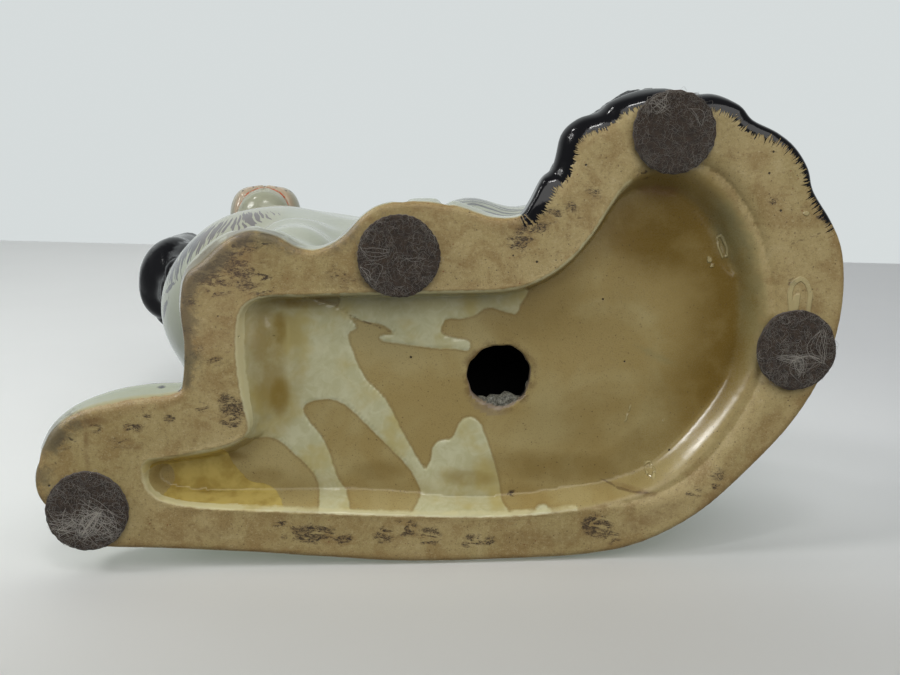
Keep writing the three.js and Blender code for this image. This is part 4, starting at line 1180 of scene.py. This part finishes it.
def fibre(path, thickness):
    """A thin flat-lying strand through points: vertices and faces of a three-sided tube."""
    path = np.array(path)
    ahead = np.gradient(path, axis=0)
    ahead /= np.linalg.norm(ahead, axis=1)[:, None] + 1e-12
    side = np.cross(ahead, (0, 0, 1))
    side /= np.linalg.norm(side, axis=1)[:, None] + 1e-12
    rise = np.cross(side, ahead)
    vertices = []
    for turn in (0.5, 2.594, 4.689):
        vertices.append(path + thickness * (math.cos(turn) * side + math.sin(turn) * rise))
    vertices = np.stack(vertices, 1).reshape(-1, 3)
    faces = []
    for i in range(len(path) - 1):
        for k in range(3):
            a = 3 * i + k
            b = 3 * i + (k + 1) % 3
            faces.append((a, b, b + 3, a + 3))
    last = 3 * (len(path) - 1)
    faces.append((2, 1, 0))
    faces.append((last, last + 1, last + 2))
    return vertices, faces


# White lint caught on each pad, as straight sweeps from one place to another. Both are measured from
# the pad's centre. The first also has how far the strands spread, and the second how many they are.
LINT = {
    "felt_pad_far_paw": [
        ((-9, 3, 7), (-3, 5, 30)), ((-2, 8, 2), (4, 0, 30)),
        ((0, 0, 8), (7, 6, 30)), ((3, 8, 3), (7, 7, 6)),
    ],
    "felt_pad_hind_foot": [((-12, -3, 3), (-4, 0, 4)), ((-11, 3, 2), (-8, 8, 5)), ((2, 0, 1), (8, 1, 2))],
    "felt_pad_tail": [((-8, -10, 3), (-2, -7, 9)), ((-7, -6, 2), (-3, -11, 6)), ((4, -6, 2), (7, -2, 3))],
    "felt_pad_rump": [
        ((-6, 2, 2), (1, 3, 9)), ((0, 2, 2), (1, 8, 12)),
        ((-2, 4, 2), (8, 3, 9)), ((8, -6, 2), (9, 4, 8)),
    ],
}
SPOKES = 132       # faces round a pad
HAIRS = 760        # loose hairs on a pad
HAIR_THICK = 0.034
LINT_THICK = 0.055
SHORTEST = 0.6                           # shorter strands are left out
PAD_SEED = 11


def strand_path(rng, start, end, bow, level):
    """A curved path between two places in a pad's plane, at a height near its face."""
    start = np.array(start)
    end = np.array(end)
    t = np.linspace(0, 1, 9)[:, None]
    across = np.array([-(end - start)[1], (end - start)[0]])
    wander = np.cumsum(rng.normal(0, 0.1, (9, 2)), 0)
    flat = start + (end - start) * t + across * bow * np.sin(np.pi * t) + wander
    return np.column_stack([flat, np.full(9, level) + rng.uniform(-0.02, 0.02, 9)])


def make_pad(name, material, seed):
    """A felt disc with a soft ragged edge, hair standing off it and lint on its face."""
    low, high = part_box(name)
    centre = np.array((low + high) / 2) / MM
    centre[2] = 0
    radius = (high.x - low.x) / 2 / MM
    thick = high.z / MM
    rng = np.random.default_rng(seed)
    rings = [0.0, 0.12, 0.24, 0.36, 0.48, 0.6, 0.7, 0.8, 0.88, 0.94, 0.985, 1.0]
    face_z = 0.22
    profile = [(r, face_z + 0.3 * max(0, (r - 0.94) / 0.06) ** 2) for r in rings]
    profile += [(1.0, 1.0), (0.995, 1.5), (1.0, 1.9), (0.985, thick - 0.12), (0.94, thick)]
    profile += [(r, thick) for r in (0.8, 0.55, 0.3, 0.0)]
    turn = np.arange(SPOKES) / SPOKES * 2 * np.pi
    ragged = 0
    for k in (2, 3, 5, 8, 13, 21, 34):
        ragged = ragged + rng.normal(0, 0.05) * np.sin(k * turn + rng.uniform(0, 6.28))
    vertices = []
    faces = []
    previous = None
    for r, z in profile:
        if r == 0.0:
            ring = [len(vertices)]
            vertices.append((0, 0, z))
        else:
            ring = list(range(len(vertices), len(vertices) + SPOKES))
            reach = r * (radius - 0.16 + ragged * r ** 6)
            lump = rng.normal(0, 0.035, SPOKES) if z < thick - 0.2 else np.zeros(SPOKES)
            reach = reach + rng.normal(-0.03, 0.03, SPOKES) * (r > 0.9)
            for a, d, out in zip(turn, lump, reach):
                vertices.append((out * math.cos(a), out * math.sin(a), z + d))
        if previous is not None:
            for k in range(SPOKES):
                m = (k + 1) % SPOKES
                quad = [previous[i % len(previous)] for i in (k, m)]
                quad += [ring[i % len(ring)] for i in (m, k)]
                faces.append(tuple(dict.fromkeys(quad)))
        previous = ring
    faces = [f[::-1] for f in faces]
    lint = [0.0] * len(vertices)

    def add(path, thickness, white):
        more, sides = fibre(path, thickness)
        offset = len(vertices)
        vertices.extend(map(tuple, more))
        faces.extend(tuple(offset + i for i in side) for side in sides)
        lint.extend([white] * len(more))

    def within(place):
        far = math.hypot(*place)
        return place if far < radius - 0.8 else place * (radius - 0.8) / far

    for _ in range(HAIRS):
        start = within(rng.uniform(-radius, radius, 2))
        heading = rng.uniform(0, 6.28)
        length = rng.uniform(0.9, 3.6)
        end = within(start + length * np.array([math.cos(heading), math.sin(heading)]))
        if np.linalg.norm(end - start) > SHORTEST:
            path = strand_path(rng, start, end, rng.normal(0, 0.35), 0.14)
            add(path, HAIR_THICK, rng.uniform(0.0, 0.7))
    for (ax, ay, spread), (bx, by, count) in LINT[name]:
        for _ in range(count):
            start = within(np.array([ax, ay]) + rng.normal(0, spread * 0.32, 2))
            end = within(np.array([bx, by]) + rng.normal(0, spread * 0.32, 2))
            if np.linalg.norm(end - start) > SHORTEST:
                path = strand_path(rng, start, end, rng.normal(0, 0.2), 0.09)
                add(path, LINT_THICK, rng.uniform(0.6, 1.0))
    placed = (np.array(vertices) + centre) * MM
    placed[:, 2] = np.clip(placed[:, 2], 0, thick * MM)
    mesh = bpy.data.meshes.new("soft_" + name)
    mesh.from_pydata(placed.tolist(), [], faces)
    add_maps(mesh, {"lint": lint})
    mesh.polygons.foreach_set("use_smooth", np.ones(len(mesh.polygons), bool))
    piece = add_object("soft_" + name, mesh, material)
    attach(piece, "root")
    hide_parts(name)


# The room: its dimmest and brightest parts, and the side that its light comes from.
ROOM_DIM = (0.15, 0.154, 0.158, 1.0)
ROOM_BRIGHT = (0.67, 0.71, 0.712, 1.0)
ROOM_AXIS = (0.0, -0.1, 1.0)

# The table under the back: two places on its far edge, as x and z, and its gap to the figure.
TABLE_FAR = ((-0.42, 0.92), (0.42, 0.62))
TABLE_GAP = 0.6 * MM

# Lights: name, place, target, size, power, tint, whether it shows in the glaze, whether it lights.
COOL = (1.0, 1.0, 0.98)
WARM = (1.0, 0.99, 0.97)
PLAIN = (1.0, 1.0, 1.0)
LIGHTS = [
    ("window", (-0.85, -0.7, -0.2), (0.02, 0, 0.05), (0.26, 0.3), 3.4, COOL, False, True),
    ("glint", (-0.85, -0.7, -0.2), (0.02, 0, 0.05), (0.28, 0.32), 11.0, COOL, True, False),
    ("lamp", (-0.6, -0.95, 0.1), (-0.1, 0, 0.2), (0.12, 0.1), 0.7, COOL, True, True),
    ("front", (0.3, -0.8, -1.15), (0, 0, 0.05), (1.6, 1.2), 10.2, WARM, True, True),
    ("overhead", (0.0, -1.05, -0.55), (0, 0, 0.02), (0.24, 0.06), 1.2, WARM, True, True),
    ("ceiling", (-0.1, -1.2, 0.9), (0, 0, 0.2), (1.2, 1.0), 3.2, WARM, False, True),
    ("fill", (0.3, 1.2, 1.0), (0, 0, 0.15), (1.2, 1.2), 5.5, PLAIN, False, True),
]

# The camera looks from below at the middle of the foot ring, with the face of the dog upwards.
CAMERA_PLACE = Vector((-16.806, -65.733, -358.6)) * MM
CAMERA_AIM = Vector((6.7, 0.9, 0.0)) * MM
CAMERA_LENS = 48.0
CAMERA_SENSOR = 36.0


def aim(obj, place, target, up=Vector((0, -1, 0))):
    """Puts a camera or light at a place, looking at a target."""
    ahead = (target - place).normalized()
    right = ahead.cross(up).normalized()
    top = right.cross(ahead)
    turn = Matrix((right, top, -ahead)).transposed()
    obj.matrix_world = Matrix.Translation(place) @ turn.to_4x4()


def make_camera():
    data = bpy.data.cameras.new("camera")
    data.lens = CAMERA_LENS
    data.sensor_width = CAMERA_SENSOR
    data.clip_start = 0.01
    data.clip_end = 20.0
    camera = bpy.data.objects.new("camera", data)
    bpy.context.scene.collection.objects.link(camera)
    aim(camera, CAMERA_PLACE, CAMERA_AIM)
    bpy.context.scene.camera = camera


def make_light(name, place, target, size, power, tint, mirrored, lighting):
    data = bpy.data.lights.new(name, "AREA")
    data.shape = "RECTANGLE"
    data.size, data.size_y = size
    data.energy = power
    data.color = tint
    light = bpy.data.objects.new(name, data)
    bpy.context.scene.collection.objects.link(light)
    aim(light, Vector(place), Vector(target), Vector((0, -0.3, 1)))
    light.visible_camera = False
    light.visible_glossy = mirrored
    light.visible_diffuse = lighting


def pale_surface_with_painted_shade(name, color):
    """A matt pale surface that shows from its front only, with painted shade: darker towards the camera
    and at the right, where less light falls.
    """
    g = Graph(name)
    tone = g.mix(g.ramp(g.noise(160, 3), 0.3, 0.7), color, tuple(0.97 * c for c in color[:3]) + (1.0,))
    # painted shade: darker and warmer towards the camera, darker and bluer at the right
    tone = g.mix(g.ramp(g.axis("Z"), 0.1, -0.12, 0, 0.75), tone, srgb(190, 189, 184))
    tone = g.mix(g.ramp(g.axis("X"), 0.02, 0.3, 0, 0.5), tone, srgb(190, 191, 196))
    g.feed(g.shader.inputs["Base Color"], tone)
    g.shader.inputs["Roughness"].default_value = 0.6
    clear = g.nodes.new("ShaderNodeBsdfTransparent")
    choose = g.nodes.new("ShaderNodeMixShader")
    back = g.nodes.new("ShaderNodeNewGeometry").outputs["Backfacing"]
    g.links.new(back, choose.inputs[0])
    g.links.new(g.shader.outputs[0], choose.inputs[1])
    g.links.new(clear.outputs[0], choose.inputs[2])
    g.links.new(choose.outputs[0], g.nodes["Material Output"].inputs["Surface"])
    return g.material


def stage_sheet(name, corners, material):
    mesh = bpy.data.meshes.new(name)
    mesh.from_pydata([tuple(c) for c in corners], [], [tuple(range(len(corners)))])
    sheet = add_object(name, mesh, material)
    sheet.visible_diffuse = False
    sheet.visible_glossy = False
    sheet.visible_shadow = False


def room_light():
    """A room that is bright on the side of its windows and dim on the other."""
    world = bpy.data.worlds.new("room")
    world.use_nodes = True
    nodes = world.node_tree.nodes
    links = world.node_tree.links
    ahead = nodes.new("ShaderNodeTexCoord").outputs["Generated"]
    along = nodes.new("ShaderNodeVectorMath")
    along.operation = "DOT_PRODUCT"
    along.inputs[1].default_value = Vector(ROOM_AXIS).normalized()
    links.new(ahead, along.inputs[0])
    ease = nodes.new("ShaderNodeMapRange")
    ease.interpolation_type = "SMOOTHSTEP"
    ease.inputs["From Min"].default_value = 0.2
    ease.inputs["From Max"].default_value = 0.85
    links.new(along.outputs["Value"], ease.inputs["Value"])
    tone = nodes.new("ShaderNodeMix")
    tone.data_type = "RGBA"
    links.new(ease.outputs[0], tone.inputs["Factor"])
    tone.inputs["A"].default_value = ROOM_DIM
    tone.inputs["B"].default_value = ROOM_BRIGHT
    links.new(next(s for s in tone.outputs if s.type == "RGBA"), nodes["Background"].inputs["Color"])
    bpy.context.scene.world = world


def make_stage():
    """The white table the figure's back lies on, a pale floor under its feet, and soft light."""
    table_y = cad_high.y + TABLE_GAP
    (near_x, near_z), (far_x, far_z) = TABLE_FAR
    slope = (far_z - near_z) / (far_x - near_x)
    corners = [(-2.4, table_y, -1.5), (2.4, table_y, -1.5)]
    corners += [(x, table_y, max(near_z + slope * (x - near_x), 0.3)) for x in (2.0, -2.4)]
    pale = pale_surface_with_painted_shade("pale_table_painted_shade", srgb(250, 252, 251))
    stage_sheet("table", corners, pale)
    stage_sheet("floor", [(-3, -3, 0), (3, -3, 0), (3, 3, 0), (-3, 3, 0)], pale)
    room_light()
    for light in LIGHTS:
        make_light(*light)
    bpy.context.scene.view_settings.view_transform = "Standard"


make_camera()
make_stage()
make_dog()
felt = felt_material()
for number, pad in enumerate(sorted(LINT)):
    make_pad(pad, felt, PAD_SEED + number)
